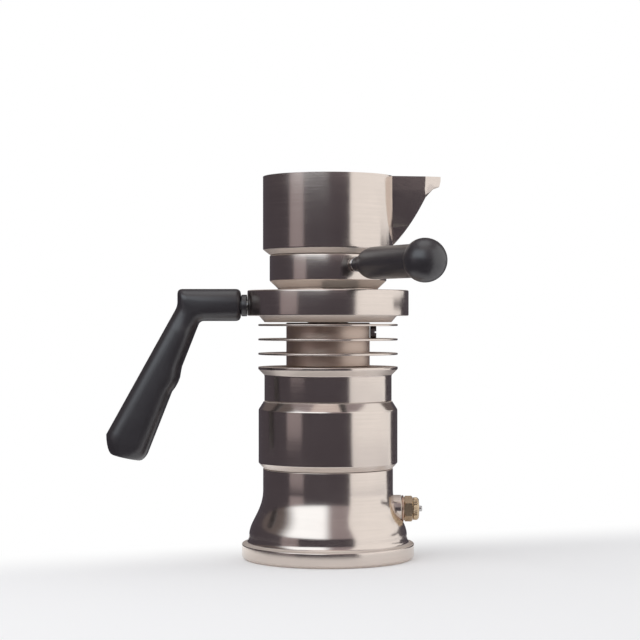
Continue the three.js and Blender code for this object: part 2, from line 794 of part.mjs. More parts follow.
// The group head's pieces, with z = 0 on its underside
function makeGroupHead() {
  const head = new THREE.Group();
  head.position.z = level.group;
  const bossRadius = group.gasketInner - seat;
  const bossTop = group.floor + group.bossHeight;
  const lugFoot = level.filter - level.group;
  const ledgeFoot = lugFoot + filter.lugHeight + seat;
  const track = filter.lugRadius + running;
  const mouth = filter.neckRadius + running;
  const socket = sink.spigotRadius + seat;
  const socketTop = sink.upperSpigot + seat;
  let body = turned([
    [socket, 0],
    [group.neckRadius, 0],
    [group.neckRadius + group.neckBevel, group.neckHeight],
    [group.radius - edge, group.neckHeight],
    [group.radius, group.neckHeight + edge],
    [group.radius, group.height - edge],
    [group.radius - edge, group.height],
    [mouth, group.height],
    [mouth, ledgeFoot],
    [track, ledgeFoot],
    [track, group.floor],
    [bossRadius, group.floor],
    [bossRadius, bossTop],
    [group.spreadRadius, bossTop],
    [group.spreadRadius, bossTop - group.spreadDepth],
    [sink.boreRadius, bossTop - group.spreadDepth],
    [sink.boreRadius, socketTop],
    [socket, socketTop],
  ], wideSteps);
  for (let i = 0; i < lugCount; i += 1) {
    const middle = (2 * Math.PI * i) / lugCount + lockTurn;
    const [cutFoot, cutTop] = [ledgeFoot - seat, group.height + overrun];
    body = body.subtract(sector(mouth - overrun, track, cutFoot, cutTop, middle, slotSpread));
  }
  const holeStart = group.radius - handle.studInside - seat;
  const studHole = rod(handle.studRadius + seat, holeStart, group.radius + overrun, smallSteps);
  body = body.subtract(solid(radial(studHole, Math.PI, handle.studHeight)));
  head.add(piece('group_head', body, nickel));

  const gasketFoot = group.floor + seat;
  const gasketTop = gasketFoot + group.gasketHeight;
  const softRing = ring(group.gasketInner, group.gasketOuter, gasketFoot, gasketTop, wideSteps);
  head.add(piece('group_gasket', solid(softRing), silicone));

  const screenFoot = bossTop + seat;
  const screenTop = screenFoot + group.screenThickness;
  const screenRadius = bossRadius - seat;
  const pitch = screenRadius / (screenRings + 1);
  const blank = solid(rod(screenRadius, screenFoot, screenTop, wideSteps));
  const screen = perforate(blank, pitch, screenRings, group.screenHoleRadius, screenFoot, screenTop);
  head.add(piece('dispersion_screen', screen, steel));
  for (const part of makeMainHandle()) head.add(part);
  return head;
}

// One rib of the main handle: a rounded oblong between an outer and an inner point, width across Y
function rib(outer, inner, width) {
  const middle = outer.clone().add(inner).multiplyScalar(0.5);
  const half = outer.clone().sub(inner).multiplyScalar(0.5);
  const corner = handleCornerShare;
  const bulge = 1 - corner * handleBulgeShare;
  const quarter = [[1, 1 - corner], [bulge, bulge], [1 - corner, 1]];
  const loop = [
    ...quarter,
    ...quarter.slice().reverse().map(([along, across]) => [-along, across]),
    ...quarter.map(([along, across]) => [-along, -across]),
    ...quarter.slice().reverse().map(([along, across]) => [along, -across]),
  ];
  return loop.map(([along, across]) => {
    const point = middle.clone().addScaledVector(half, along);
    return new THREE.Vector3(point.x, (across * width) / 2, point.y);
  });
}

// The main handle and what holds it, in the group head's frame
function makeMainHandle() {
  const at = (reach, height) => new THREE.Vector2(-reach, handle.studHeight + height);
  const collarStart = group.radius + seat;
  const collarEnd = collarStart + handle.collarLength;
  const root = collarEnd + seat;
  const gripTop = -handle.fall;
  const insideReach = handle.reach - handle.bendDepth;
  const bothReach = (drop, lean, from) => from + drop * Math.tan(lean);
  const outerAt = (share) => {
    const drop = share * handle.tipFall;
    return at(bothReach(drop, outerLean, handle.reach), handle.rise - handle.shoulder - drop);
  };
  const innerAt = (share, swell) => {
    const drop = share * handle.gripFall;
    return at(bothReach(drop, innerLean, insideReach) - swell, gripTop - drop);
  };
  const widthAt = (share) => handle.armWidth + (handle.gripWidth - handle.armWidth) * share;
  const rootHalf = handle.rootHeight / 2;
  const armStart = root + handle.rootBevel;
  const [bendOuter, bendInner] = [handle.reach - handle.shoulder, insideReach - handle.rootBevel];
  const ribs = [
    rib(at(root, rootHalf), at(root, -rootHalf), handle.armWidth - handle.rootBevel),
    rib(at(armStart, handle.rise), at(armStart, gripTop), handle.armWidth),
    rib(at(bendOuter, handle.rise), at(bendInner, gripTop), handle.armWidth),
    rib(at(handle.reach, handle.rise), at(insideReach, gripTop), handle.armWidth),
    rib(outerAt(0), innerAt(gripRibShares.top, 0), widthAt(0)),
  ];
  const [restStart, crestStart, crestEnd, restEnd] = fingerRestShares;
  const swells = [
    [gripRibShares.upper, 0],
    [restStart, 0],
    [crestStart, 1],
    [crestEnd, 1],
    [restEnd, 0],
    [gripRibShares.lower, 0],
  ];
  for (const [share, swell] of swells) {
    ribs.push(rib(outerAt(share), innerAt(share, swell * handle.fingerRest), widthAt(share)));
  }
  const tipOuter = outerAt(1);
  const tipInner = innerAt(1, 0);
  const tipLow = new THREE.Vector2(tipOuter.x, tipOuter.y - handle.tipCut);
  const lastOuter = tipLow.clone().lerp(tipInner, tipCutShare);
  lastOuter.y -= handle.rootBevel;
  const [nearTip, atTip] = tipInnerShares;
  ribs.push(rib(tipOuter, innerAt(nearTip, 0), widthAt(tipWidthShares[0])));
  ribs.push(rib(tipLow, innerAt(atTip, 0), widthAt(tipWidthShares[1])));
  ribs.push(rib(lastOuter, tipInner, widthAt(tipWidthShares[2])));
  const grip = loft(ribs);
  const holeRadius = handle.studRadius + seat;
  const studTip = group.radius + handle.studReach;
  const boltHole = rod(holeRadius, root - overrun, studTip + seat, smallSteps);
  const bored = grip.subtract(solid(radial(boltHole, Math.PI, handle.studHeight)));
  const grips = piece('main_handle', bored, nylon);

  const pin = rod(handle.studRadius, -handle.studInside, handle.studReach, smallSteps);
  const stud = piece('handle_stud', solid(pin), steel);
  const sleeve = ring(holeRadius, handle.collarRadius, seat, seat + handle.collarLength, middleSteps);
  const collar = piece('handle_collar', solid(sleeve), nylon);
  for (const part of [stud, collar]) {
    part.position.set(-group.radius, 0, handle.studHeight);
    part.rotation.y = -Math.PI / 2;
  }
  return [grips, stud, collar];
}

// The portafilter's pieces, with z = 0 on its lower face
function makePortafilter() {
  const whole = new THREE.Group();
  whole.position.z = level.filter;
  const rimHole = basket.rimRadius + seat;
  const rimTop = basket.rim + seat;
  const grooveRadius = filter.boreRadius + filter.clipGrooveDepth;
  const nippleHole = nipple.radius + seat;
  let body = turned([
    [rimHole, 0],
    [filter.neckRadius, 0],
    [filter.neckRadius, filter.neckHeight],
    [filter.radius, filter.neckHeight + filter.chamferHeight],
    [filter.radius, filter.height - edge],
    [filter.radius - edge, filter.height],
    [nippleHole, filter.height],
    [nippleHole, filter.plateHeight],
    [nipple.flangeRadius + seat, filter.plateHeight],
    [filter.boreRadius, filter.boreHeight],
    [filter.boreRadius, filter.clipHeight + filter.clipGroove / 2],
    [grooveRadius, filter.clipHeight + filter.clipGroove / 2],
    [grooveRadius, filter.clipHeight - filter.clipGroove / 2],
    [filter.boreRadius, filter.clipHeight - filter.clipGroove / 2],
    [filter.boreRadius, rimTop],
    [rimHole, rimTop],
  ], wideSteps);
  for (let i = 0; i < lugCount; i += 1) {
    const middle = (2 * Math.PI * i) / lugCount;
    body = body.add(sector(rimHole + seat, filter.lugRadius, 0, filter.lugHeight, middle, lugSpread));
  }
  const holeRadius = lever.studRadius + seat;
  const studHole = rod(holeRadius, lever.studStart - seat, filter.radius + overrun, smallSteps);
  body = body.subtract(solid(radial(studHole, filter.handleAzimuth, filter.handleHeight)));
  whole.add(piece('portafilter', body, nickel));

  const inner = basket.radius - basket.wall;
  const bowl = turned([
    [0, basket.height - basket.wall],
    [inner, basket.height - basket.wall],
    [inner, 0],
    [basket.rimRadius, 0],
    [basket.rimRadius, basket.rim],
    [basket.radius, basket.rim],
    [basket.radius, basket.height],
    [0, basket.height],
  ], wideSteps);
  const [plateFoot, plateTop] = [basket.height - basket.wall, basket.height];
  const pierced = perforate(bowl, basket.holePitch, basketRings, basket.holeRadius, plateFoot, plateTop);
  whole.add(piece('basket', pierced, steel));

  const arc = [];
  for (let i = 0; i <= clipSteps; i += 1) {
    const angle = clip.opening / 2 + ((2 * Math.PI - clip.opening) * i) / clipSteps;
    const [x, y] = [clip.radius * Math.cos(angle), clip.radius * Math.sin(angle)];
    arc.push(new THREE.Vector3(x, y, filter.clipHeight));
  }
  const wire = bent(new THREE.CatmullRomCurve3(arc), clip.wireRadius, springSides, clipSteps);
  whole.add(piece('basket_clip', wire, steel));

  for (const part of makeNipple()) whole.add(part);
  whole.add(makeLever());
  return whole;
}

function makeNipple() {
  const flangeTop = filter.plateHeight - seat;
  const top = filter.height + seat + nipple.rise;
  const grooveMiddle = top - nipple.ringDrop;
  const grooveRadius = nipple.radius - 2 * nipple.ringRadius;
  const ringMiddle = nipple.radius - nipple.ringRadius + seat / 2;
  const tube = turned([
    [nipple.boreRadius, flangeTop - nipple.flange],
    [nipple.flangeRadius, flangeTop - nipple.flange],
    [nipple.flangeRadius, flangeTop],
    [nipple.radius, flangeTop],
    [nipple.radius, grooveMiddle - nipple.grooveWidth / 2],
    [grooveRadius, grooveMiddle - nipple.grooveWidth / 2],
    [grooveRadius, grooveMiddle + nipple.grooveWidth / 2],
    [nipple.radius, grooveMiddle + nipple.grooveWidth / 2],
    [nipple.radius - edge / 2, top],
    [nipple.boreRadius, top],
  ], middleSteps);
  const round = [];
  for (let i = 0; i < sealSides; i += 1) {
    const angle = (2 * Math.PI * i) / sealSides;
    const across = nipple.ringRadius * Math.cos(angle);
    const along = nipple.ringRadius * Math.sin(angle);
    round.push([ringMiddle + across, grooveMiddle + along]);
  }
  const seal = piece('nipple_seal', turned(round, middleSteps), silicone);
  return [piece('outlet_nipple', tube, steel), seal];
}

// The portafilter's own handle, along its axis from the portafilter's middle
function makeLever() {
  const whole = new THREE.Group();
  whole.position.z = filter.handleHeight;
  whole.rotation.set(0, Math.PI / 2, filter.handleAzimuth, 'ZYX');
  const stud = rod(lever.studRadius, lever.studStart, lever.studEnd, smallSteps);
  whole.add(piece('lever_stud', solid(stud), steel));

  const collarStart = filter.radius + 2 * seat;
  const collarEnd = collarStart + lever.collarLength;
  const hole = lever.studRadius + seat;
  const collar = ring(hole, lever.collarRadius, collarStart, collarEnd, middleSteps);
  whole.add(piece('lever_collar', solid(collar), steel));

  const start = collarEnd + seat;
  const flareStart = start + lever.neckLength;
  const flareEnd = flareStart + lever.flareLength;
  const blindEnd = lever.studEnd + seat;
  const flare = new THREE.CubicBezierCurve(
    new THREE.Vector2(lever.neckRadius, flareStart),
    new THREE.Vector2(lever.neckRadius, flareStart + lever.flareLength / 4),
    new THREE.Vector2(lever.barRadius, flareEnd - lever.flareLength / 2),
    new THREE.Vector2(lever.barRadius, flareEnd),
  );
  const meet = Math.acos(lever.barRadius / lever.ballRadius);
  const ball = [];
  for (let i = 0; i <= ballSteps; i += 1) {
    const angle = -meet + ((Math.PI / 2 + meet) * i) / ballSteps;
    const radius = i < ballSteps ? lever.ballRadius * Math.cos(angle) : 0;
    ball.push([radius, lever.ballReach + lever.ballRadius * Math.sin(angle)]);
  }
  const knob = turned([
    [0, blindEnd],
    [hole, blindEnd],
    [hole, start],
    [lever.neckRadius, start],
    ...flare.getPoints(flareSteps).map((point) => [point.x, point.y]),
    ...ball,
  ], middleSteps);
  whole.add(piece('portafilter_handle', knob, nylon));
  return whole;
}

// A level outline of the spout, drawn in from its skin by an inset
function spoutRing(height, keel, halfWidth, noseHalf, tip, tipHalf, inset) {
  const half = Math.max(halfWidth - inset, inset / 2);
  const nose = Math.max(noseHalf - inset / 2, inset / 2);
  const end = Math.max(tipHalf - inset / 2, inset / 3);
  const side = [
    [spout.root, half],
    [keel - inset, nose],
    [tip - inset, end],
  ];
  const outline = [...side, ...side.slice().reverse().map(([x, y]) => [x, -y])];
  return outline.map(([x, y]) => new THREE.Vector3(x, y, height));
}

// The beak and its lip as a loft from the keel's foot up to the rim
function spoutLoft(inset, foot, top) {
  const keel = new THREE.QuadraticBezierCurve(
    new THREE.Vector2(jug.radius, spout.foot),
    new THREE.Vector2(
      jug.radius + beakBulgeShares[0] * (spout.beakReach - jug.radius),
      spout.foot + beakBulgeShares[1] * (spout.bendHeight - spout.foot),
    ),
    new THREE.Vector2(spout.beakReach, spout.bendHeight),
  );
  const full = spout.beakReach - jug.radius;
  const lipReach = spout.beakReach + spout.lipOverhang;
  const rings = [];
  for (const point of keel.getPoints(beakSteps)) {
    const share = (point.x - jug.radius) / full;
    const half = inset / 2 + (spout.beakHalfWidth - inset / 2) * share;
    const nose = Math.min(half, spout.noseHalfWidth);
    rings.push(spoutRing(point.y + foot, point.x, half, nose, point.x + seat, nose / 2, inset));
  }
  const lipMiddle = (spout.lipHeight + jug.height) / 2;
  const lip = [
    [spout.lipHeight - edge + foot, (spout.beakReach + lipReach) / 2],
    [spout.lipHeight + edge + foot, lipReach - edge],
    [lipMiddle + edge + foot, lipReach],
    [top, lipReach],
  ];
  const [halfWidth, nose] = [spout.beakHalfWidth, spout.noseHalfWidth];
  for (const [height, tip] of lip) {
    rings.push(spoutRing(height, spout.beakReach, halfWidth, nose, tip, spout.lipHalfWidth, inset));
  }
  return loft(rings);
}

// The jug's pieces, with z = 0 on its underside
function makeJug() {
  const whole = new THREE.Group();
  whole.position.z = level.jug;
  const columnHole = jug.columnRadius + seat;
  const inner = jug.radius - jug.wall;
  const outside = turned([
    [columnHole, 0],
    [jug.radius - jug.bevelDepth, 0],
    [jug.radius, jug.bevelHeight],
    [jug.radius, jug.height],
    [columnHole, jug.height],
  ], wideSteps);
  const hollow = turned([
    [0, jug.floor],
    [jug.radius - jug.bevelDepth - jug.wall / 2, jug.floor],
    [inner, jug.bevelHeight + jug.wall / 2],
    [inner, jug.height + overrun],
    [0, jug.height + overrun],
  ], wideSteps);
  const body = outside
    .add(spoutLoft(0, 0, jug.height))
    .subtract(hollow)
    .subtract(spoutLoft(jug.wall, jug.wall, jug.height + overrun));
  whole.add(piece('jug', body, nickel));

  const flangeFoot = jug.floor + seat;
  const flangeTop = flangeFoot + jug.columnFlangeHeight;
  const boreRadius = jug.columnRadius - jug.columnWall;
  const socketRadius = nipple.radius + running;
  const socketTop = jug.socketDepth;
  const domeFoot = jug.columnHeight - jug.columnDome;
  const column = turned([
    [0, domeFoot - jug.columnWall / 2],
    [boreRadius, domeFoot - jug.columnWall],
    [boreRadius, socketTop],
    [socketRadius, socketTop],
    [socketRadius, jug.columnRecess],
    [jug.columnRadius, jug.columnRecess],
    [jug.columnRadius, flangeFoot],
    [jug.columnFlange, flangeFoot],
    [jug.columnFlange, flangeTop],
    [jug.columnRadius, flangeTop],
    [jug.columnRadius, domeFoot],
    [jug.columnRadius - jug.columnDome / 2, domeFoot + columnDomeShare * jug.columnDome],
    [0, jug.columnHeight],
  ], middleSteps);
  let pierced = column;
  for (const azimuth of [0, Math.PI / 2]) {
    const reach = jug.columnRadius + overrun;
    const tool = rod(jug.portRadius, -reach, reach, smallSteps);
    pierced = pierced.subtract(solid(radial(tool, azimuth, jug.columnHeight - jug.portDrop)));
  }
  whole.add(piece('jug_column', pierced, steel));
  return whole;
}

const espressoMaker = new THREE.Group();
espressoMaker.add(makeLowerBoiler());
espressoMaker.add(makeReliefValve());
espressoMaker.add(makeBoilerGasket());
espressoMaker.add(makeUnion());
espressoMaker.add(makeOutletValve());
espressoMaker.add(makeCoil());
espressoMaker.add(makeUpperBoiler());
espressoMaker.add(makeChamberSeal());
for (const part of makeHeatSink()) espressoMaker.add(part);
espressoMaker.add(makeGroupHead());
espressoMaker.add(makePortafilter());
espressoMaker.add(makeJug());

export default espressoMaker;
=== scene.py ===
# Stovetop espresso maker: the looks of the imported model, in metres, +Z up.
# The main handle points to -X and the jug's spout to +X.
from math import acos, atan2, cos, hypot, pi, radians, sin, sqrt, tau

import bmesh
import bpy
from mathutils import Matrix, Vector


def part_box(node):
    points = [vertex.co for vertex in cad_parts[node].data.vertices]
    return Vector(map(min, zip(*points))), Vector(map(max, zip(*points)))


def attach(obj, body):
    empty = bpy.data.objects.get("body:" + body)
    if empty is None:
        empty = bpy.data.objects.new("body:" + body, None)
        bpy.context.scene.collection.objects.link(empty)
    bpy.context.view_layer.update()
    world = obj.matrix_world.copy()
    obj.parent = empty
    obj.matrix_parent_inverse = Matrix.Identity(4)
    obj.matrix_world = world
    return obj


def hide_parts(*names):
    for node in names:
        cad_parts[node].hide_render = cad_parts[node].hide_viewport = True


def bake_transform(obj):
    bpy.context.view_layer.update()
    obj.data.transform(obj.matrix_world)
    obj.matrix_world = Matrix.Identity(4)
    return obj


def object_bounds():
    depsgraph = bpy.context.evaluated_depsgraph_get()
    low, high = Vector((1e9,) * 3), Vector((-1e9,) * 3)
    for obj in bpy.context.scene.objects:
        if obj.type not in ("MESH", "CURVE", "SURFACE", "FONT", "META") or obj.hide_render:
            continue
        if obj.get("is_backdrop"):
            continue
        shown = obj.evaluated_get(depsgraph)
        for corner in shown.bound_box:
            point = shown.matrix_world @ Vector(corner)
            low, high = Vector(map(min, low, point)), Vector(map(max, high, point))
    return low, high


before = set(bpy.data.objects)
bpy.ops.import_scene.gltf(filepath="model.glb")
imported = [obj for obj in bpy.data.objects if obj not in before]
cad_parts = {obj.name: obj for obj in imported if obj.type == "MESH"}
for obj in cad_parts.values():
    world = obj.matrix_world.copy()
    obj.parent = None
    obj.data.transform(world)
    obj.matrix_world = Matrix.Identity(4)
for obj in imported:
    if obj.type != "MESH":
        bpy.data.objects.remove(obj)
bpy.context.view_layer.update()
MM = 0.001

# Camera: a level view from the front, a little left of the maker's middle, with the lens and the distance
# that give the photograph's framing.
SENSOR_WIDTH, FOCAL_LENGTH = 36.0, 101.0
CAMERA_SPOT = Vector((-4.8, -1077.0, 142.5)) * MM
scene = bpy.context.scene
scene.view_settings.view_transform = "Standard"
camera_data = bpy.data.cameras.new("camera")
camera_data.sensor_width = SENSOR_WIDTH
camera_data.lens = FOCAL_LENGTH
camera = bpy.data.objects.new("camera", camera_data)
camera.location = CAMERA_SPOT
camera.rotation_euler = (pi / 2, 0, 0)
scene.collection.objects.link(camera)
scene.camera = camera

# Studio: a white table and background, inside a ring of glowing cards that every surface mirrors. The bright
# card on the right also lights the maker, a window hangs high on the left, and the ceiling glows. A softbox
# that nothing mirrors throws the shadow.
BACKGROUND = (1.0, 1.0, 1.0, 1.0)
AMBIENT = 0.74
TABLE_COLOR = (0.95, 0.95, 0.965, 1.0)
TABLE_SIZE = 6.0
TABLE_FADE_START, TABLE_FADE_END, TABLE_FADE_SLOPE = -0.02, 0.1, 0.42
TABLE_RIM_START, TABLE_RIM_END = 0.6, 1.5
CARD_STEP = radians(6)
TABLE_CARD_EDGE = (0.145, 0.0005)
CARD_FOOT, CARD_BREAK, CARD_TOP = (1.0, 0.0005), (1.0, 0.34), (1.0, 1.25)
JUG_CARD_FOOT, JUG_CARD_TOP = (0.98, 0.2), (0.98, 0.34)
GROUP_CARD_FOOT, GROUP_CARD_TOP = (0.98, 0.12), (0.98, 0.185)
CEILING_EDGE, CEILING_MIDDLE = (0.45, 1.25), (0.001, 1.25)
DARK_CARD = (0.078, 0.069, 0.082)
SHADE_CARD = (0.15, 0.13, 0.13)
DIM_CARD = (0.34, 0.3, 0.32)
SOFT_CARD = (0.75, 0.68, 0.66)
BRIGHT_CARD = (1.03, 1.03, 1.03)
CEILING_CARD = (1.15, 1.15, 1.15)
WINDOW_CARD = (1.38, 1.5, 1.6)
SOFTBOX_FROM = Vector((-0.42, -0.37, 0.83))
SOFTBOX_REACH = 0.92
SOFTBOX_SIZE = (0.56, 0.4)
SOFTBOX_RADIANCE = 2.1


def add_node(tree, kind, inputs=None, **settings):
    """One shader node. Each input takes a value or another node's output."""
    made = tree.nodes.new(kind)
    for name, value in settings.items():
        setattr(made, name, value)
    for key, value in (inputs or {}).items():
        if isinstance(value, bpy.types.NodeSocket):
            tree.links.new(value, made.inputs[key])
        else:
            made.inputs[key].default_value = value
    return made


def math_node(tree, operation, *values):
    return add_node(tree, "ShaderNodeMath", dict(enumerate(values)), operation=operation).outputs[0]


def share_between(tree, value, start, end, curve="SMOOTHSTEP"):
    """How far a value has come from a start to an end, kept between 0 and 1."""
    ends = {"Value": value, "From Min": start, "From Max": end}
    return add_node(tree, "ShaderNodeMapRange", ends, interpolation_type=curve).outputs["Result"]


def mixed(tree, share, first, second, blend="MIX"):
    """A colour that turns into a second one, or is multiplied by it."""
    colors = {"Factor": share, "A": first, "B": second}
    return add_node(tree, "ShaderNodeMix", colors, data_type="RGBA", blend_type=blend).outputs["Result"]


def looked_at(tree):
    """1 for what the camera or a reflection looks at, and 0 for light on its way to a dull surface."""
    path = add_node(tree, "ShaderNodeLightPath").outputs
    mirrored = math_node(tree, "MAXIMUM", path["Is Glossy Ray"], path["Is Transmission Ray"])
    return math_node(tree, "MAXIMUM", path["Is Camera Ray"], mirrored)


def empty_material(name):
    """A material with nothing but its output."""
    material = bpy.data.materials.new(name)
    material.use_nodes = True
    material.node_tree.nodes.clear()
    return material, material.node_tree, material.node_tree.nodes.new("ShaderNodeOutputMaterial")


def add_object(name, made):
    mesh = bpy.data.meshes.new(name)
    made.to_mesh(mesh)
    made.free()
    piece = bpy.data.objects.new(name, mesh)
    scene.collection.objects.link(piece)
    return piece


def soft_color(tree, first, last, radiance, first_fade, before, last_fade, after):
    """A radiance that fades into its neighbours' over some degrees at both ends of its azimuths."""
    place = add_node(tree, "ShaderNodeTexCoord").outputs["Object"]
    xyz = add_node(tree, "ShaderNodeSeparateXYZ", {"Vector": place}).outputs
    azimuth = math_node(tree, "ARCTAN2", xyz["X"], math_node(tree, "MULTIPLY", xyz["Y"], -1.0))
    color = (*radiance, 1.0)
    for side, fade, neighbour in ((first, first_fade, before), (last, -last_fade, after)):
        share = share_between(tree, azimuth, side, side + radians(fade))
        color = mixed(tree, share, (*neighbour, 1.0), color)
    return color


def studio_card(name, start, end, first_edge, last_edge, radiance, lights=False, soft_sides=None):
    """A glowing card swept round the maker between two edges, each a radius and a height. Azimuth zero is the
    camera's side and 90 is +X. Soft sides give each side's fade in degrees and the radiance there."""
    made = bmesh.new()
    first, last = radians(start), radians(end)
    count = max(1, round((last - first) / CARD_STEP))
    before = None
    for i in range(count + 1):
        angle = first + (last - first) * i / count
        spots = [(r * sin(angle), -r * cos(angle), z) for r, z in (first_edge, last_edge)]
        edge = [made.verts.new(spot) for spot in spots]
        if before:
            made.faces.new((*before, *reversed(edge)))
        before = edge
    card = add_object(name, made)
    material, tree, output = empty_material(name)
    glow = add_node(tree, "ShaderNodeEmission", {"Color": (*radiance, 1.0)})
    tree.links.new(glow.outputs[0], output.inputs["Surface"])
    if soft_sides:
        tree.links.new(soft_color(tree, first, last, radiance, *soft_sides), glow.inputs["Color"])
    card.data.materials.append(material)
    card.visible_camera = False
    card.visible_shadow = False
    card.visible_diffuse = lights
    card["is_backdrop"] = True


window_sides = (30, SHADE_CARD, 18, DIM_CARD)
studio_card("front_card", -43, 38, CARD_FOOT, CARD_BREAK, DARK_CARD)
studio_card("upper_front_card", 8, 38, CARD_BREAK, CARD_TOP, DIM_CARD)
studio_card("bright_card", 38, 124, CARD_FOOT, CARD_TOP, BRIGHT_CARD, lights=True)
studio_card("jug_bright_card", 124, 134, JUG_CARD_FOOT, JUG_CARD_TOP, BRIGHT_CARD)
studio_card("group_dark_card", 104, 124, GROUP_CARD_FOOT, GROUP_CARD_TOP, DARK_CARD)
studio_card("back_card", 124, 290, CARD_FOOT, CARD_BREAK, DARK_CARD)
studio_card("upper_back_card", 124, 250, CARD_BREAK, CARD_TOP, SHADE_CARD)
studio_card("dim_card", -70, -43, CARD_FOOT, CARD_BREAK, DIM_CARD)
studio_card("upper_left_card", -110, -84, CARD_BREAK, CARD_TOP, SHADE_CARD)
studio_card("window_card", -84, 8, CARD_BREAK, CARD_TOP, WINDOW_CARD, soft_sides=window_sides)
studio_card("table_card", 124, 398, TABLE_CARD_EDGE, CARD_FOOT, DARK_CARD)
studio_card("front_ceiling_card", -40, 40, CARD_TOP, CEILING_EDGE, SOFT_CARD)
studio_card("back_ceiling_card", 40, 320, CARD_TOP, CEILING_EDGE, DIM_CARD)
studio_card("ceiling_card", 0, 360, CEILING_EDGE, CEILING_MIDDLE, CEILING_CARD)

softbox_data = bpy.data.lights.new("softbox", "AREA")
softbox_data.shape = "RECTANGLE"
softbox_data.size, softbox_data.size_y = SOFTBOX_SIZE
softbox_data.energy = SOFTBOX_RADIANCE * pi * SOFTBOX_SIZE[0] * SOFTBOX_SIZE[1]
softbox = bpy.data.objects.new("softbox", softbox_data)
softbox.visible_glossy = False
softbox.location = SOFTBOX_FROM.normalized() * SOFTBOX_REACH
softbox.rotation_euler = SOFTBOX_FROM.to_track_quat("Z", "Y").to_euler()
scene.collection.objects.link(softbox)

world = bpy.data.worlds.new("studio")
world.use_nodes = True
scene.world = world
tree = world.node_tree
tree.nodes.clear()
strength = math_node(tree, "MULTIPLY_ADD", looked_at(tree), 1.0 - AMBIENT, AMBIENT)
sky = add_node(tree, "ShaderNodeBackground", {"Color": BACKGROUND, "Strength": strength})
add_node(tree, "ShaderNodeOutputWorld", {"Surface": sky.outputs[0]})

table = bmesh.new()
bmesh.ops.create_grid(table, x_segments=1, y_segments=1, size=TABLE_SIZE)
table_top = add_object("table", table)
table_top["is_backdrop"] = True
material, tree, output = empty_material("white_table")
place = add_node(tree, "ShaderNodeTexCoord").outputs["Object"]
xyz = add_node(tree, "ShaderNodeSeparateXYZ", {"Vector": place}).outputs
depth = math_node(tree, "MULTIPLY_ADD", xyz["X"], -TABLE_FADE_SLOPE, xyz["Y"])
reach = add_node(tree, "ShaderNodeVectorMath", {0: place}, operation="LENGTH").outputs["Value"]
fade = share_between(tree, depth, TABLE_FADE_START, TABLE_FADE_END)
rim = share_between(tree, reach, TABLE_RIM_START, TABLE_RIM_END)
glow_share = math_node(tree, "MULTIPLY", math_node(tree, "MAXIMUM", fade, rim), looked_at(tree))
matt = add_node(tree, "ShaderNodeBsdfDiffuse", {"Color": TABLE_COLOR}).outputs[0]
glow = add_node(tree, "ShaderNodeEmission", {"Color": BACKGROUND}).outputs[0]
both = add_node(tree, "ShaderNodeMixShader", {0: glow_share, 1: matt, 2: glow})
tree.links.new(both.outputs[0], output.inputs["Surface"])
table_top.data.materials.append(material)

# Lower boiler: one thick bell turned from bar, nickel-coloured and satin-polished, on a wide foot that
# takes the hob's heat. A boss on its right carries the relief valve, and a coarse thread runs round its top.
ROUND_STEPS, CORNER_STEPS, THREAD_STEPS = 128, 4, 64
COVE_STEPS, BELL_STEPS, BELL_INSIDE_STEPS = 8, 24, 16
SHARP_EDGE = radians(32)
NICKEL = (0.72, 0.635, 0.575, 1.0)
RING_STRENGTH, RING_DEPTH, FACE_FEED = 0.5, 0.000012, 0.37
SMEAR_SCALE, SMEAR_SPREAD, METAL_SHADE_SPREAD = 42.0, 0.12, 0.16
LEVEL_FROM, LEVEL_TO = 0.57, 0.72
FACE_ROUGHNESS, FACE_DULLNESS = 0.3, 0.55
foot_height, sole_edge = 9.1, 1.6
cove_step, cove_depth, cove_height = 1.2, 3.2, 6.1
bell_height = 25.8
foot_lean_share, foot_pull_share, neck_pull_share = 0.13, 0.31, 0.47
neck_radius, neck_height = 38.9, 12.7
thread_depth, thread_lead, thread_end, thread_bite = 0.8, 4.0, 1.6, 0.1
ridge_half_share, fade_share, faded_share = 0.3, 0.125, 0.02
bore_radius = 31.0
bell_wall, floor_height, floor_corner = 6.5, 6.0, 5.0
boss_radius, boss_face, boss_inset, spot_margin = 8.2, 43.9, 2.0, 0.6
valve_height = 29.4


def corners(node):
    """The lowest and highest corner of a node of the part, in millimetres."""
    low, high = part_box(node)
    return low / MM, high / MM


def crosswise(height, azimuth=0.0, start=0.0):
    """The place of a piece whose own Z axis lies level, along an azimuth from +X, at a height."""
    turn = Matrix.Rotation(azimuth, 4, "Z") @ Matrix.Rotation(pi / 2, 4, "Y")
    return Matrix.Translation(Vector((start, 0, height)) * MM) @ turn


def rounded(points):
    """An outline in millimetres, where a point's third number is how far its rounding reaches."""
    if all(len(point) == 2 for point in points):
        return points
    outline = []
    for i, (radius, height, *rounding) in enumerate(points):
        corner = Vector((radius, height))
        if not any(rounding):
            outline.append(corner)
            continue
        before = (Vector(points[i - 1][:2]) - corner).normalized() * rounding[0]
        after = (Vector(points[(i + 1) % len(points)][:2]) - corner).normalized() * rounding[0]
        for k in range(CORNER_STEPS + 1):
            share = k / CORNER_STEPS
            outline.append(corner + before * (1 - share) ** 2 + after * share**2)
    return outline


def curve_points(start, first_pull, second_pull, end, count):
    """Points on a cubic curve between two ends, without the first one."""
    ends = [Vector(point) for point in (start, first_pull, second_pull, end)]
    points = []
    for i in range(1, count + 1):
        t = i / count
        weights = ((1 - t) ** 3, 3 * t * (1 - t) ** 2, 3 * t**2 * (1 - t), t**3)
        points.append(tuple(sum((p * w for p, w in zip(ends, weights)), Vector((0, 0)))))
    return points


def round_spot(radius, angle, height):
    """A point at a radius, an azimuth and a height, in millimetres."""
    return Vector((radius * cos(angle), radius * sin(angle), height))


def close_up(name, made, place=None):
    """A finished mesh with its faces pointing out, moved to its place."""
    bmesh.ops.recalc_face_normals(made, faces=made.faces)
    piece = add_object(name, made)
    if place is not None:
        piece.data.transform(place)
    return piece


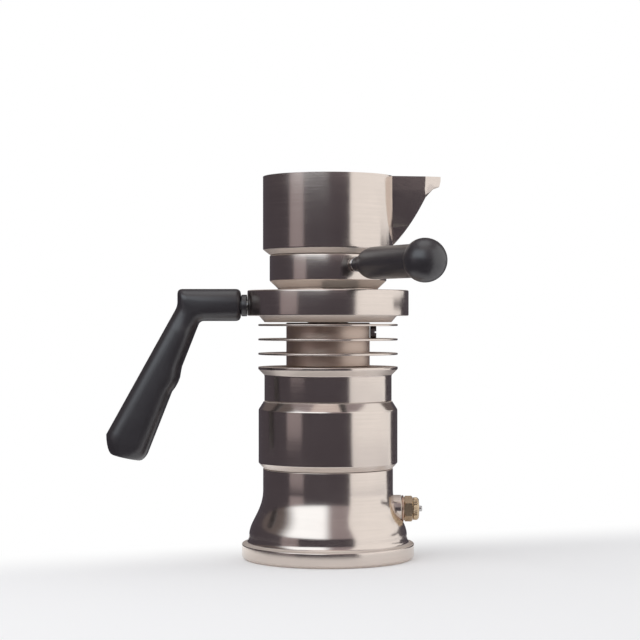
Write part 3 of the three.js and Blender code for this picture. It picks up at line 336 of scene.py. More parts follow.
def lathe(name, points, place=None, steps=ROUND_STEPS):
    """A closed outline, with its roundings, turned about its own Z axis and put in its place."""
    made = bmesh.new()
    rings = []
    for radius, height in rounded(points):
        if radius < 1e-6:
            rings.append([made.verts.new((0, 0, height * MM))])
            continue
        ring = [round_spot(radius, tau * i / steps, height) * MM for i in range(steps)]
        rings.append([made.verts.new(spot) for spot in ring])
    pairs = list(zip(rings, rings[1:]))
    if len(rings[0]) > 1:
        pairs.append((rings[-1], rings[0]))
    for low, high in pairs:
        for i in range(steps):
            j = (i + 1) % steps
            ring = (low[i % len(low)], low[j % len(low)], high[j % len(high)], high[i % len(high)])
            kept = list(dict.fromkeys(ring))
            if len(kept) > 2:
                made.faces.new(kept)
    return close_up(name, made, place)


def skin(name, ribs, place=None):
    """A closed skin over a row of sections in millimetres."""
    made = bmesh.new()
    rings = [[made.verts.new(spot * MM) for spot in ring] for ring in ribs]
    for low, high in zip(rings, rings[1:]):
        for i in range(len(low)):
            j = (i + 1) % len(low)
            made.faces.new((low[i], low[j], high[j], high[i]))
    made.faces.new(rings[0])
    made.faces.new(rings[-1])
    return close_up(name, made, place)


def combine(piece, tool, operation):
    """Joins a second closed mesh to a piece, cuts it out, or keeps what they share."""
    change = piece.modifiers.new("change", "BOOLEAN")
    change.operation, change.solver, change.object = operation, "EXACT", tool
    graph = bpy.context.evaluated_depsgraph_get()
    mesh = bpy.data.meshes.new_from_object(piece.evaluated_get(graph))
    piece.modifiers.clear()
    piece.data = mesh
    bpy.data.objects.remove(tool)


def thread(name, root, crest, low, high, phase=0.0):
    """A coarse screw thread's ridge between two heights, fading out at both ends."""
    ribs = []
    count = round(THREAD_STEPS * (high - low) / thread_lead)
    for i in range(count + 1):
        fade = min(1.0, i / count / fade_share, (count - i) / count / fade_share)
        fade = fade * (1 - faded_share) + faded_share
        half, top = ridge_half_share * thread_lead * fade, root + (crest - root) * fade
        angle, middle = tau * i / THREAD_STEPS + phase, low + thread_lead * i / THREAD_STEPS
        sections = ((root, -half), (top, -half / 3), (top, half / 3), (root, half))
        ribs.append([round_spot(radius, angle, middle + rise) for radius, rise in sections])
    return skin(name, ribs)


def shader_group(name, inputs):
    """A node group with a vector and named inputs, which puts out a colour, a roughness and a height."""
    group = bpy.data.node_groups.new(name, "ShaderNodeTree")
    group.interface.new_socket("Vector", in_out="INPUT", socket_type="NodeSocketVector")
    for label, value in inputs.items():
        kind = "Color" if isinstance(value, tuple) else "Float"
        socket = group.interface.new_socket(label, in_out="INPUT", socket_type="NodeSocket" + kind)
        socket.default_value = value
    for label, kind in (("Color", "Color"), ("Roughness", "Float"), ("Height", "Float")):
        group.interface.new_socket(label, in_out="OUTPUT", socket_type="NodeSocket" + kind)
    return group, group.nodes.new("NodeGroupInput").outputs, group.nodes.new("NodeGroupOutput").inputs


def noise(tree, vector, scale, detail, roughness=0.5):
    pattern = {"Vector": vector, "Scale": scale, "Detail": detail, "Roughness": roughness}
    return add_node(tree, "ShaderNodeTexNoise", pattern).outputs["Fac"]


def spread(tree, mask, width, middle):
    """A value that wanders round a middle as a mask wanders round a half."""
    return math_node(tree, "MULTIPLY_ADD", math_node(tree, "SUBTRACT", mask, 0.5), width, middle)


def shaded(tree, color, first, second, width):
    """A colour shaded by the sum of two masks."""
    total = math_node(tree, "ADD", first, second)
    shade = math_node(tree, "MULTIPLY_ADD", total, width, 1 - width)
    grey = add_node(tree, "ShaderNodeCombineColor", {0: shade, 1: shade, 2: shade}).outputs[0]
    return mixed(tree, 1.0, color, grey, "MULTIPLY")


def turned_finish_group():
    """The fine rings that a lathe and a polishing wheel leave round an axis, and the smears of handling."""
    inputs = {"Color": NICKEL, "Pitch": 0.0006, "Roughness": 0.2, "Spread": 0.1}
    group, given, result = shader_group("turned_finish", inputs)
    xyz = add_node(group, "ShaderNodeSeparateXYZ", {"Vector": given["Vector"]}).outputs
    flat = add_node(group, "ShaderNodeCombineXYZ", {"X": xyz["X"], "Y": xyz["Y"]}).outputs[0]
    radius = add_node(group, "ShaderNodeVectorMath", {0: flat}, operation="LENGTH").outputs["Value"]
    around = add_node(group, "ShaderNodeVectorMath", {0: flat}, operation="NORMALIZE").outputs[0]
    along = math_node(group, "MULTIPLY_ADD", radius, FACE_FEED, xyz["Z"])
    step = math_node(group, "DIVIDE", along, given["Pitch"])
    upward = add_node(group, "ShaderNodeCombineXYZ", {"Z": step}).outputs[0]
    spot = add_node(group, "ShaderNodeVectorMath", {0: around, 1: upward}, operation="ADD").outputs[0]
    rings = noise(group, spot, 1.0, 3.0, 0.6)
    smears = noise(group, given["Vector"], SMEAR_SCALE, 4.0, 0.55)
    rough = spread(group, smears, SMEAR_SPREAD, spread(group, rings, given["Spread"], given["Roughness"]))
    group.links.new(shaded(group, given["Color"], rings, smears, METAL_SHADE_SPREAD), result["Color"])
    group.links.new(rough, result["Roughness"])
    group.links.new(rings, result["Height"])
    return group


turned_finish = turned_finish_group()


def marked_surface(tree, output, marks, strength, depth, settings):
    """A surface whose colour, roughness and fine ridges come from a finish's marks."""
    ridges = {"Strength": strength, "Distance": depth, "Height": marks["Height"]}
    normal = add_node(tree, "ShaderNodeBump", ridges).outputs[0]
    surface = {"Base Color": marks["Color"], "Roughness": marks["Roughness"], "Normal": normal, **settings}
    tree.links.new(add_node(tree, "ShaderNodeBsdfPrincipled", surface).outputs[0], output.inputs["Surface"])


def turned_metal(name, color, roughness, pitch=0.0006, place=None, matt_faces=False):
    """Metal that was turned and then polished about the Z axis of its place. The wheel reaches the walls
    best, so matt faces, the level ones, stay rougher and scatter part of their light."""
    material, tree, output = empty_material(name)
    coordinates = add_node(tree, "ShaderNodeTexCoord").outputs
    spot = coordinates["Object"]
    if place is not None:
        turn = {"Location": place.to_translation(), "Rotation": place.to_euler()}
        spot = add_node(tree, "ShaderNodeMapping", {"Vector": spot, **turn}, vector_type="TEXTURE").outputs[0]
    given = {"Vector": spot, "Color": color, "Pitch": pitch, "Roughness": roughness}
    marks = add_node(tree, "ShaderNodeGroup", given, node_tree=turned_finish).outputs
    settings = {"Metallic": 1.0}
    if matt_faces:
        upward = add_node(tree, "ShaderNodeSeparateXYZ", {"Vector": coordinates["Normal"]}).outputs["Z"]
        level_share = share_between(tree, math_node(tree, "ABSOLUTE", upward), LEVEL_FROM, LEVEL_TO, "LINEAR")
        rough = math_node(tree, "MULTIPLY_ADD", level_share, FACE_ROUGHNESS, marks["Roughness"])
        metallic = math_node(tree, "MULTIPLY_ADD", level_share, -FACE_DULLNESS, 1.0)
        settings = {"Roughness": rough, "Metallic": metallic}
    marked_surface(tree, output, marks, RING_STRENGTH, RING_DEPTH, settings)
    return material


def give_finish(mesh, material):
    """Gives a mesh its material, with its curves smooth and its edges sharp."""
    mesh.materials.clear()
    mesh.materials.append(material)
    mesh.shade_smooth()
    mesh.set_sharp_from_angle(angle=SHARP_EDGE)


def dress(piece, material, body, slot, *nodes):
    """Gives a piece its material and its body, and hides the part's nodes that it stands for. Its slot
    is not used. Without a body the piece is not attached."""
    give_finish(piece.data, material)
    if body:
        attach(piece, body)
    if nodes:
        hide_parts(*nodes)


nickel = turned_metal("satin_nickel", NICKEL, 0.17, matt_faces=True)
low, high = corners("lower_boiler")
foot_radius, rim_height = high.y, high.z
cove_radius = foot_radius - cove_step
bell_foot = (cove_radius - cove_depth, foot_height + cove_height)
bell_top = (neck_radius, bell_foot[1] + bell_height)
shoulder = bell_top[1] + neck_height
spigot_radius = corners("boiler_gasket")[1].y
spigot_root = spigot_radius - thread_depth


def bell_line(foot, top, count):
    """The bell's curve: it stands nearly upright at its foot and runs upright into the neck."""
    lean, rise = foot[0] - top[0], top[1] - foot[1]
    foot_pull = (foot[0] - foot_lean_share * lean, foot[1] + foot_pull_share * rise)
    return curve_points(foot, foot_pull, (top[0], top[1] - neck_pull_share * rise), top, count)


cove_start = (cove_radius, foot_height)
cove_corner = Vector((bell_foot[0], foot_height))
cove_pulls = [tuple(Vector(end).lerp(cove_corner, 2 / 3)) for end in (cove_start, bell_foot)]
inner_foot = (bell_foot[0] - bell_wall, floor_height + floor_corner)
outline = [
    (0, 0),
    (foot_radius - sole_edge, 0, 0.4),
    (foot_radius, sole_edge, 0.6),
    (foot_radius, foot_height, 0.9),
    cove_start,
    *curve_points(cove_start, *cove_pulls, bell_foot, COVE_STEPS),
    *bell_line(bell_foot, bell_top, BELL_STEPS),
    (neck_radius, shoulder, 0.4),
    (spigot_root, shoulder),
    (spigot_root, rim_height, 0.5),
    (bore_radius, rim_height, 0.4),
    *reversed(bell_line(inner_foot, (bore_radius, bell_top[1]), BELL_INSIDE_STEPS)),
    inner_foot,
    (inner_foot[0] - floor_corner, floor_height, 2.0),
    (0, floor_height),
]
boiler = lathe("lower_boiler_bell", outline)
valve_place = crosswise(valve_height)


def round_bar(name, radius, low, high, place, steps=ROUND_STEPS):
    return lathe(name, [(0, low), (radius, low), (radius, high), (0, high)], place, steps)


spot_face = round_bar("spot_face", boss_radius + spot_margin, boss_face, foot_radius, valve_place)
combine(boiler, spot_face, "DIFFERENCE")
boss_root = neck_radius - boss_inset
outline = [(0, boss_root), (boss_radius, boss_root), (boss_radius, boss_face, 0.6), (0, boss_face)]
boss = lathe("boss", outline, valve_place)
combine(boiler, boss, "UNION")
dress(boiler, nickel, "lower", "satin_nickel", "lower_boiler")
thread_ends = (shoulder + thread_end, rim_height - thread_end)
boiler_thread = thread("lower_boiler_thread", spigot_root - thread_bite, spigot_radius, *thread_ends)
dress(boiler_thread, nickel, "lower", "satin_nickel")

# Relief valve: a brass valve screwed radially into the boss, with a copper washer, a hexagon for the spanner
# and a knurled cap. Its steel stem shows that the valve is free, and its steel spring is wound round the
# valve's axis.
BRASS = (0.6, 0.47, 0.32, 1.0)
COPPER = (0.62, 0.43, 0.34, 1.0)
STEEL = (0.62, 0.61, 0.6, 1.0)
CURL_STEPS, WIRE_SIDES, SMALL_STEPS = 20, 8, 48
cone_margin, corner_margin = 0.05, 0.1
washer_inner, washer_roundings = 6.6, (0, 0.25, 0.25, 0)
hex_flats, hex_bevel, hex_gap = 13.4, 0.8, 0.3
shank_radius, shank_start, shank_overlap = 6.3, 34.3, 0.5
stem_hole, hole_bevel, cap_bevel = 2.0, 0.5, 1.1
knurl_depth, knurl_count, knurl_wall = 0.35, 30, 0.4
stem_radius, stem_head, head_length = 1.7, 4.2, 2.0
relief_coil = (3.1, 0.45, 4)


def sleeve(name, bore, radius, start, end, roundings, place=None, steps=ROUND_STEPS):
    """A ring or tube with four edges rounded: the bore's and the wall's at its start, then at its end the
    wall's and the bore's."""
    edges = zip((bore, radius, radius, bore), (start, start, end, end), roundings)
    return lathe(name, list(edges), place, steps)


def hexagon(name, across_flats, low, high, bevel, place):
    """A bar of six sides whose corners are turned off at both ends."""
    bar_radius, cone = across_flats / sqrt(3), across_flats / 2 + cone_margin
    bar = round_bar(name, bar_radius, low, high, place, steps=6)
    widest = bar_radius + corner_margin
    turned = [(0, low), (cone, low), (widest, low + bevel), (widest, high - bevel), (cone, high), (0, high)]
    combine(bar, lathe("corner_cone", turned, place), "INTERSECT")
    return bar


def knurled(piece, place, inside):
    """Presses straight flutes into the outermost wall of a turned piece."""
    back = place.inverted()
    for vertex in piece.data.vertices:
        spot = back @ vertex.co / MM
        radius = hypot(spot.x, spot.y)
        if radius > inside:
            wave = 0.5 - 0.5 * cos(knurl_count * atan2(spot.y, spot.x))
            share = (radius - knurl_depth * wave) / radius
            vertex.co = place @ (Vector((spot.x * share, spot.y * share, spot.z)) * MM)


def coil_spring(name, radius, wire, curls, length, place):
    """A compression spring wound round the Z axis of its place, in millimetres."""
    ribs = []
    count = curls * CURL_STEPS
    turns = [tau * k / WIRE_SIDES for k in range(WIRE_SIDES)]
    for i in range(count + 1):
        angle = tau * i / CURL_STEPS
        outward = Vector((cos(angle), sin(angle), 0))
        along = Vector((-sin(angle), cos(angle), length / (curls * tau * radius))).normalized()
        middle = outward * radius + Vector((0, 0, wire + (length - 2 * wire) * i / count))
        upward = along.cross(outward)
        ribs.append([middle + (outward * cos(turn) + upward * sin(turn)) * wire for turn in turns])
    return skin(name, ribs, place)


brass = turned_metal("valve_brass", BRASS, 0.24, 0.0004, valve_place)
washer_copper = turned_metal("washer_copper", COPPER, 0.3, 0.0005, valve_place)
stem_steel = turned_metal("stem_steel", STEEL, 0.22, 0.0004, valve_place)
low, high = corners("relief_valve_washer")
washer_outer = high.z - valve_height
washer = sleeve("relief_washer", washer_inner, washer_outer, low.x, high.x, washer_roundings, valve_place)
dress(washer, washer_copper, "lower", "warm_metal", "relief_valve_washer")
body_end = corners("relief_valve_body")[1].x
hex_start, cap_start = high.x + hex_gap, body_end + hex_gap
hex_body = hexagon("relief_body", hex_flats, hex_start, body_end, hex_bevel, valve_place)
shank = round_bar("shank", shank_radius, shank_start, hex_start + shank_overlap, valve_place)
combine(hex_body, shank, "UNION")
dress(hex_body, brass, "lower", "valve_brass", "relief_valve_body")
cap_high = corners("relief_valve_cap")[1]
cap_radius, cap_end = cap_high.z - valve_height, cap_high.x
outline = [
    (stem_hole, cap_start),
    (cap_radius, cap_start, 0.3),
    (cap_radius, cap_end - cap_bevel, 0.3),
    (cap_radius - cap_bevel, cap_end, 0.4),
    (stem_hole + hole_bevel, cap_end),
    (stem_hole, cap_end - hole_bevel),
]
cap = lathe("relief_cap", outline, valve_place, steps=6 * knurl_count)
knurled(cap, valve_place, cap_radius - knurl_wall)
dress(cap, brass, "lower", "valve_brass", "relief_valve_cap")
low, high = corners("relief_plunger")
outline = [
    (0, low.x),
    (stem_head, low.x),
    (stem_head, low.x + head_length),
    (stem_radius, low.x + head_length),
    (stem_radius, high.x, 0.7),
    (0, high.x),
]
stem = lathe("relief_stem", outline, valve_place, SMALL_STEPS)
dress(stem, stem_steel, "relief_piston", "plain_steel", "relief_plunger")
low, high = corners("relief_spring")
spring_place = crosswise(valve_height, start=low.x)
relief_spring = coil_spring("relief_coil", *relief_coil, high.x - low.x, spring_place)
dress(relief_spring, stem_steel, None, "plain_steel", "relief_spring")
spring_foot, spring_end = Vector((low.x, 0, valve_height)) * MM, Vector((high.x, 0, valve_height)) * MM
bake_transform(relief_spring)

# Boiler gasket: a flat ring, moulded of silicone, on the lower boiler's rim. It turns with neither body and
# is squeezed between the two when the union is screwed down.
SILICONE = (0.6, 0.58, 0.55, 1.0)
CLOUD_SCALE, CLOUD_SPREAD, PLASTIC_SHADE_SPREAD = 55.0, 0.22, 0.35
GRAIN_STRENGTH = 0.6


def moulded_group():
    """The cloudy tone and the fine skin of a moulded soft or hard plastic."""
    inputs = {"Color": SILICONE, "Grain": 2500.0, "Roughness": 0.5}
    group, given, result = shader_group("moulded_skin", inputs)
    grain = noise(group, given["Vector"], given["Grain"], 2.0)
    cloud = noise(group, given["Vector"], CLOUD_SCALE, 5.0, 0.6)
    group.links.new(shaded(group, given["Color"], cloud, grain, PLASTIC_SHADE_SPREAD), result["Color"])
    group.links.new(spread(group, cloud, CLOUD_SPREAD, given["Roughness"]), result["Roughness"])
    group.links.new(grain, result["Height"])
    return group


moulded_skin = moulded_group()


def moulded(name, color, roughness, grain, depth, shine):
    """A moulded plastic or rubber."""
    material, tree, output = empty_material(name)
    spot = add_node(tree, "ShaderNodeTexCoord").outputs["Object"]
    given = {"Vector": spot, "Color": color, "Grain": grain, "Roughness": roughness}
    marks = add_node(tree, "ShaderNodeGroup", given, node_tree=moulded_skin).outputs
    marked_surface(tree, output, marks, GRAIN_STRENGTH, depth, {"Specular IOR Level": shine})
    return material


def flat_ring(node, inner, rounding, material, body, slot):
    """A ring that fills a node's height, with its edges broken."""
    low, high = corners(node)
    ring = sleeve(node + "_ring", inner, high.y, low.z, high.z, (rounding,) * 4)
    dress(ring, material, body, slot, node)


silicone = moulded("pale_silicone", SILICONE, 0.5, 2500.0, 0.00002, 0.5)
flat_ring("boiler_gasket", bore_radius, 0.4, silicone, "seal_ring", "seal_rubber")

# Union: the widest turned body, nickel-coloured. Its thread draws it down on the gasket, its diaphragm
# carries the outlet valve, and its upper part is the wall of the cooling water's chamber.
union_bevel = (3.0, 3.3)
union_chamfer = (3.2, 5.0)
socket_radius, chamber_radius, valve_hole = 37.1, 37.0, 6.3
diaphragm_low, diaphragm_high = 67.3, 71.3
low, high = corners("boiler_union")
union_radius = high.y
outline = [
    (socket_radius, low.z, 0.3),
    (union_radius - union_bevel[0], low.z, 0.3),
    (union_radius, low.z + union_bevel[1], 0.5),
    (union_radius, high.z - union_chamfer[1], 0.6),
    (union_radius - union_chamfer[0], high.z, 0.3),
    (chamber_radius, high.z),
    (chamber_radius, diaphragm_high, 1.0),
    (valve_hole, diaphragm_high),
    (valve_hole, diaphragm_low),
    (socket_radius, diaphragm_low, 0.5),
]
union = lathe("boiler_union_body", outline)
dress(union, nickel, "upper", "satin_nickel", "boiler_union")
socket_root = socket_radius + thread_bite
thread_ends = (low.z + thread_end, diaphragm_low - 2 * thread_end)
union_thread = thread("boiler_union_thread", socket_root, socket_root - thread_depth, *thread_ends, pi)
dress(union_thread, nickel, "upper", "satin_nickel")

# Outlet valve, suction tube and cooling coil: brass, steel and copper-toned pieces inside the union. All but
# the steel spring and the tube are the part's own solids.
WARM_METAL = (0.66, 0.535, 0.46, 1.0)
outlet_coil = (3.6, 0.5, 4)
tube_bore, tube_radius = 2.1, 3.0


def finish_nodes(material, *nodes):
    """Gives some of the part's own solids a finish."""
    for node in nodes:
        give_finish(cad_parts[node].data, material)


inner_brass = turned_metal("inner_brass", BRASS, 0.3, 0.0005)
plain_steel = turned_metal("plain_steel", STEEL, 0.26, 0.0005)
warm_metal = turned_metal("warm_polished", WARM_METAL, 0.42, 0.0008)
finish_nodes(inner_brass, "outlet_valve_body", "outlet_valve_cap")
finish_nodes(plain_steel, "outlet_poppet")
finish_nodes(warm_metal, "cooling_coil")
low, high = corners("outlet_spring")
spring_foot, spring_end = Vector((0, 0, low.z)) * MM, Vector((0, 0, high.z)) * MM
spring_place = Matrix.Translation(spring_foot)
outlet_spring = coil_spring("outlet_coil", *outlet_coil, high.z - low.z, spring_place)
dress(outlet_spring, plain_steel, None, "plain_steel", "outlet_spring")
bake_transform(outlet_spring)
low, high = corners("suction_tube")
tube_sizes = (tube_bore, tube_radius, low.z, high.z, (0.2, 0.3, 0, 0))
tube = sleeve("suction_tube_drawn", *tube_sizes, steps=SMALL_STEPS)
dress(tube, plain_steel, "upper", "plain_steel", "suction_tube")

# Upper boiler: the turned shell over the cooling water, nickel-coloured like the rest, with a skirt in the
# union's bore and a bevelled flange like one more fin.
flange_edge, flange_bevel = 1.4, 3.7
skirt_length, skirt_outer, skirt_inner = 8.0, 36.5, 34.0
upper_radius, top_plate = 38.1, 4.3
core_hole = 12.3
low, high = corners("upper_boiler")
upper_foot = low.z + skirt_length
outline = [
    (skirt_inner, low.z),
    (skirt_outer, low.z, 0.4),
    (skirt_outer, upper_foot),
    (upper_radius, upper_foot, 0.3),
    (upper_radius, high.z - flange_edge - flange_bevel, 0.6),
    (high.y, high.z - flange_edge, 0.3),
    (high.y, high.z, 0.4),
    (core_hole, high.z),
    (core_hole, high.z - top_plate),
    (skirt_inner, high.z - top_plate, 1.0),
]
upper_boiler = lathe("upper_boiler_shell", outline)
dress(upper_boiler, nickel, "upper", "satin_nickel", "upper_boiler")
flat_ring("chamber_seal", skirt_inner, 0.3, silicone, "upper", "seal_rubber")

# Heat sink: a satin, warm-toned core that the coffee rises through, with three thin turned fins pressed on it
# and a small steel vent plug screwed into its right side.
PLUG_STEEL = (0.3, 0.28, 0.28, 1.0)
spigot, spigot_low, spigot_high = 12.0, 6.9, 4.3
core_inlet, core_outlet = 2.8, 2.5
fin_gap, fin_rounding = 0.2, 0.55
plug_gap, plug_bevel, plug_slot = 0.3, 0.4, (2.0, 12.0, 0.9)
low, high = corners("heat_sink_core")
core_radius = high.y
outline = [
    (core_inlet, low.z),
    (spigot, low.z, 0.4),
    (spigot, low.z + spigot_low),
    (core_radius, low.z + spigot_low, 0.5),
    (core_radius, high.z - spigot_high, 0.5),
    (spigot, high.z - spigot_high),
    (spigot, high.z, 0.4),
    (core_outlet, high.z),
]
core = lathe("heat_sink_turned_core", outline)
dress(core, warm_metal, "upper", "warm_metal", "heat_sink_core")
for number in (1, 2, 3):
    flat_ring(f"fin_{number}", core_radius + fin_gap, fin_rounding, nickel, "upper", "satin_nickel")
low, high = corners("vent_plug")
plug_height = (low.z + high.z) / 2
plug_place = crosswise(plug_height)
plug = hexagon("vent_plug_head", high.y - low.y, core_radius + plug_gap, high.x, plug_bevel, plug_place)
slot_tool = bmesh.new()
bmesh.ops.create_cube(slot_tool, size=1.0)
bmesh.ops.scale(slot_tool, verts=slot_tool.verts, vec=Vector(plug_slot) * MM)
bmesh.ops.translate(slot_tool, verts=slot_tool.verts, vec=Vector((high.x, 0, plug_height)) * MM)
combine(plug, close_up("slot_tool", slot_tool), "DIFFERENCE")
plug_steel = turned_metal("plug_steel", PLUG_STEEL, 0.3, 0.0004, plug_place)
dress(plug, plug_steel, "upper", "plain_steel", "vent_plug")

# Group head: a heavy turned dish with three bayonet slots in its lip. A silicone ring and a pierced steel
# screen lie in it, over the bore that brings the coffee.
BLOCK_STEPS = 12
group_neck, group_neck_rise, group_bevel = 38.0, 3.8, 3.3
group_floor, group_boss, gasket_inner, gasket_gap = 6.3, 9.8, 24.8, 0.3
screen_seat, seat_depth, head_foot = 20.0, 0.8, 4.6
track_radius, mouth_radius, lug_ledge = 36.6, 30.6, 15.2
slot_half, ledge_margin, cut_margin = radians(22), 0.3, 2
slot_azimuths = [radians(45 + 120 * i) for i in range(3)]
low, high = corners("group_head")
group_low, group_high, group_radius = low.z, high.z, high.y
boss_top, floor_level, ledge_level = group_low + group_boss, group_low + group_floor, group_low + lug_ledge


def block(name, inner, outer, low, high, middle, half):
    """A curved block between two radii and two heights, round an azimuth."""
    ribs = []
    for i in range(BLOCK_STEPS + 1):
        angle = middle + half * (2 * i / BLOCK_STEPS - 1)
        spots = ((inner, low), (outer, low), (outer, high), (inner, high))
        ribs.append([round_spot(radius, angle, height) for radius, height in spots])
    return skin(name, ribs)


outline = [
    (core_hole, group_low),
    (group_neck, group_low, 0.3),
    (group_neck + group_bevel, group_low + group_neck_rise, 0.3),
    (group_radius, group_low + group_neck_rise, 0.8),
    (group_radius, group_high, 0.9),
    (mouth_radius, group_high, 0.5),
    (mouth_radius, ledge_level),
    (track_radius, ledge_level),
    (track_radius, floor_level),
    (gasket_inner - gasket_gap, floor_level),
    (gasket_inner - gasket_gap, boss_top, 0.4),
    (screen_seat, boss_top),
    (screen_seat, boss_top - seat_depth),
    (core_outlet, boss_top - seat_depth),
    (core_outlet, group_low + head_foot),
    (core_hole, group_low + head_foot),
]
head = lathe("group_head_dish", outline)
slot_edges = (mouth_radius - cut_margin, track_radius, ledge_level - ledge_margin, group_high + cut_margin)
for azimuth in slot_azimuths:
    combine(head, block("slot_cut", *slot_edges, azimuth, slot_half), "DIFFERENCE")
dress(head, nickel, "upper", "satin_nickel", "group_head")
flat_ring("group_gasket", gasket_inner, 0.5, silicone, "upper", "seal_rubber")
finish_nodes(plain_steel, "dispersion_screen", "handle_stud", "lever_stud", "basket", "basket_clip")

# Main handle: one black nylon moulding, a level arm with broad rounded edges and a grip that leans out and
# widens downwards. A stud in the group head's side holds it, with a plain collar between.
NYLON = (0.022, 0.019, 0.023, 1.0)
RIB_CORNER_STEPS, ROOT_STEPS, TIP_STEPS = 6, 4, 6
GRIP_STEPS, FIRST_GRIP_STEP = 26, 3
COLLAR_STEPS = 64
arm_width, grip_width, arm_drop = 17.0, 23.0, 9.3
arm_rounding, grip_rounding, root_rounding, tip_rounding = 7.8, 8.4, 2.7, 3.2
rest_depth, rest_start, rest_rise, rest_end, rest_fall = 1.3, 0.34, 0.04, 0.5, 0.05
arm_end, bend_start = (-78.0, -73.5), (-80.0, -70.0)
bend_outside, bend_inside, shoulder_drop = -90.3, -76.8, 10.2
outer_drop, tip_drop = 76.8, 10.8
inner_lean, inner_drop, inner_share = 33.5, 84.6, 0.93
stud_bore = 3.3
nylon = moulded("black_nylon", NYLON, 0.34, 3500.0, 0.000012, 1.0)
handle_low, handle_high = corners("main_handle")
collar_low, collar_high = corners("handle_collar")
stud_height = (collar_low.z + collar_high.z) / 2
root_x, arm_high, arm_low = handle_high.x, handle_high.z, stud_height - arm_drop
outer_corner, outer_shoulder = (bend_outside, arm_high), (bend_outside, arm_high - shoulder_drop)
outer_tip = (handle_low.x, outer_shoulder[1] - outer_drop)
tip_low = (handle_low.x, outer_tip[1] - tip_drop)
inner_corner = (bend_inside, arm_low)
inner_tip = (bend_inside - inner_lean, arm_low - inner_drop)


def rib(outer, inner, width, rounding):
    """One section of the handle: a rounded oblong between an outer and an inner point, as wide as width."""
    outer, inner = Vector(outer), Vector(inner)
    middle, reach = (outer + inner) / 2, (outer - inner).length / 2
    along = (outer - inner).normalized()
    rounding = min(rounding, 0.95 * reach, 0.475 * width)
    spots = []
    for quarter, (side_a, side_b) in enumerate(((1, 1), (-1, 1), (-1, -1), (1, -1))):
        for k in range(RIB_CORNER_STEPS + 1):
            angle = pi / 2 * (quarter + k / RIB_CORNER_STEPS)
            a = side_a * (reach - rounding) + rounding * cos(angle)
            b = side_b * (width / 2 - rounding) + rounding * sin(angle)
            spot = middle + along * a
            spots.append(Vector((spot.x, b, spot.y)))
    return spots


def between(start, end, share):
    return tuple(Vector(start).lerp(Vector(end), share))


def finger_swell(share):
    """How far the grip's inner side stands out for the fingers, down the grip."""
    rise = min(1.0, max(0.0, (share - rest_start) / rest_rise))
    fall = min(1.0, max(0.0, (rest_end - share) / rest_fall))
    return rest_depth * rise * fall


ribs = []
for k in range(ROOT_STEPS + 1):
    turn = pi / 2 * k / ROOT_STEPS
    inset = root_rounding * (1 - sin(turn))
    x = root_x - root_rounding * (1 - cos(turn))
    ribs.append(rib((x, arm_high - inset), (x, arm_low + inset), arm_width - 2 * inset, arm_rounding))
ribs.append(rib((arm_end[0], arm_high), (arm_end[1], arm_low), arm_width, arm_rounding))
grip_top = between(outer_shoulder, outer_tip, 0.1)
outer_line = rounded([(bend_start[0], arm_high), (*outer_corner, 3.0), (*outer_shoulder, 2.5), grip_top])
inner_line = rounded([(bend_start[1], arm_low), (*inner_corner, 2.5), between(inner_corner, inner_tip, 0.1)])
inner_spots = [inner_line[min(len(inner_line) - 1, 1 + i // 2)] for i in range(len(outer_line) - 1)]
for outer_spot, inner_spot in zip(outer_line[1:], inner_spots):
    ribs.append(rib(outer_spot, inner_spot, arm_width, arm_rounding))
grip_axis = (Vector(inner_tip) - Vector(inner_corner)).normalized()
grip_across = Vector((-grip_axis.y, grip_axis.x))
for i in range(FIRST_GRIP_STEP, GRIP_STEPS + 1):
    share = i / GRIP_STEPS
    along = inner_share * share
    inner_spot = Vector(between(inner_corner, inner_tip, along)) + grip_across * finger_swell(along)
    width = arm_width + (grip_width - arm_width) * share
    rounding = arm_rounding + (grip_rounding - arm_rounding) * share
    ribs.append(rib(between(outer_shoulder, outer_tip, share), inner_spot, width, rounding))
inner_end = between(inner_corner, inner_tip, inner_share)
for k in range(1, TIP_STEPS + 1):
    turn = pi / 2 * k / TIP_STEPS
    inset = tip_rounding * (1 - cos(turn))
    advance = sin(turn)
    outer_spot = Vector(between(outer_tip, tip_low, advance)) + grip_across * inset
    inner_spot = Vector(between(inner_end, inner_tip, advance)) - grip_across * inset
    ribs.append(rib(outer_spot, inner_spot, grip_width - 2 * inset, grip_rounding))
dress(skin("main_handle_moulding", ribs), nylon, "upper", "black_nylon", "main_handle")

collar_place = Matrix.Translation(Vector((0, 0, stud_height)) * MM) @ Matrix.Rotation(-pi / 2, 4, "Y")
collar_radius = (collar_high.z - collar_low.z) / 2
collar_sizes = (stud_bore, collar_radius, -collar_high.x, -collar_low.x, (0, 0.4, 0.8, 0))
collar = sleeve("handle_collar_sleeve", *collar_sizes, collar_place, COLLAR_STEPS)
dress(collar, nylon, "upper", "black_nylon", "handle_collar")

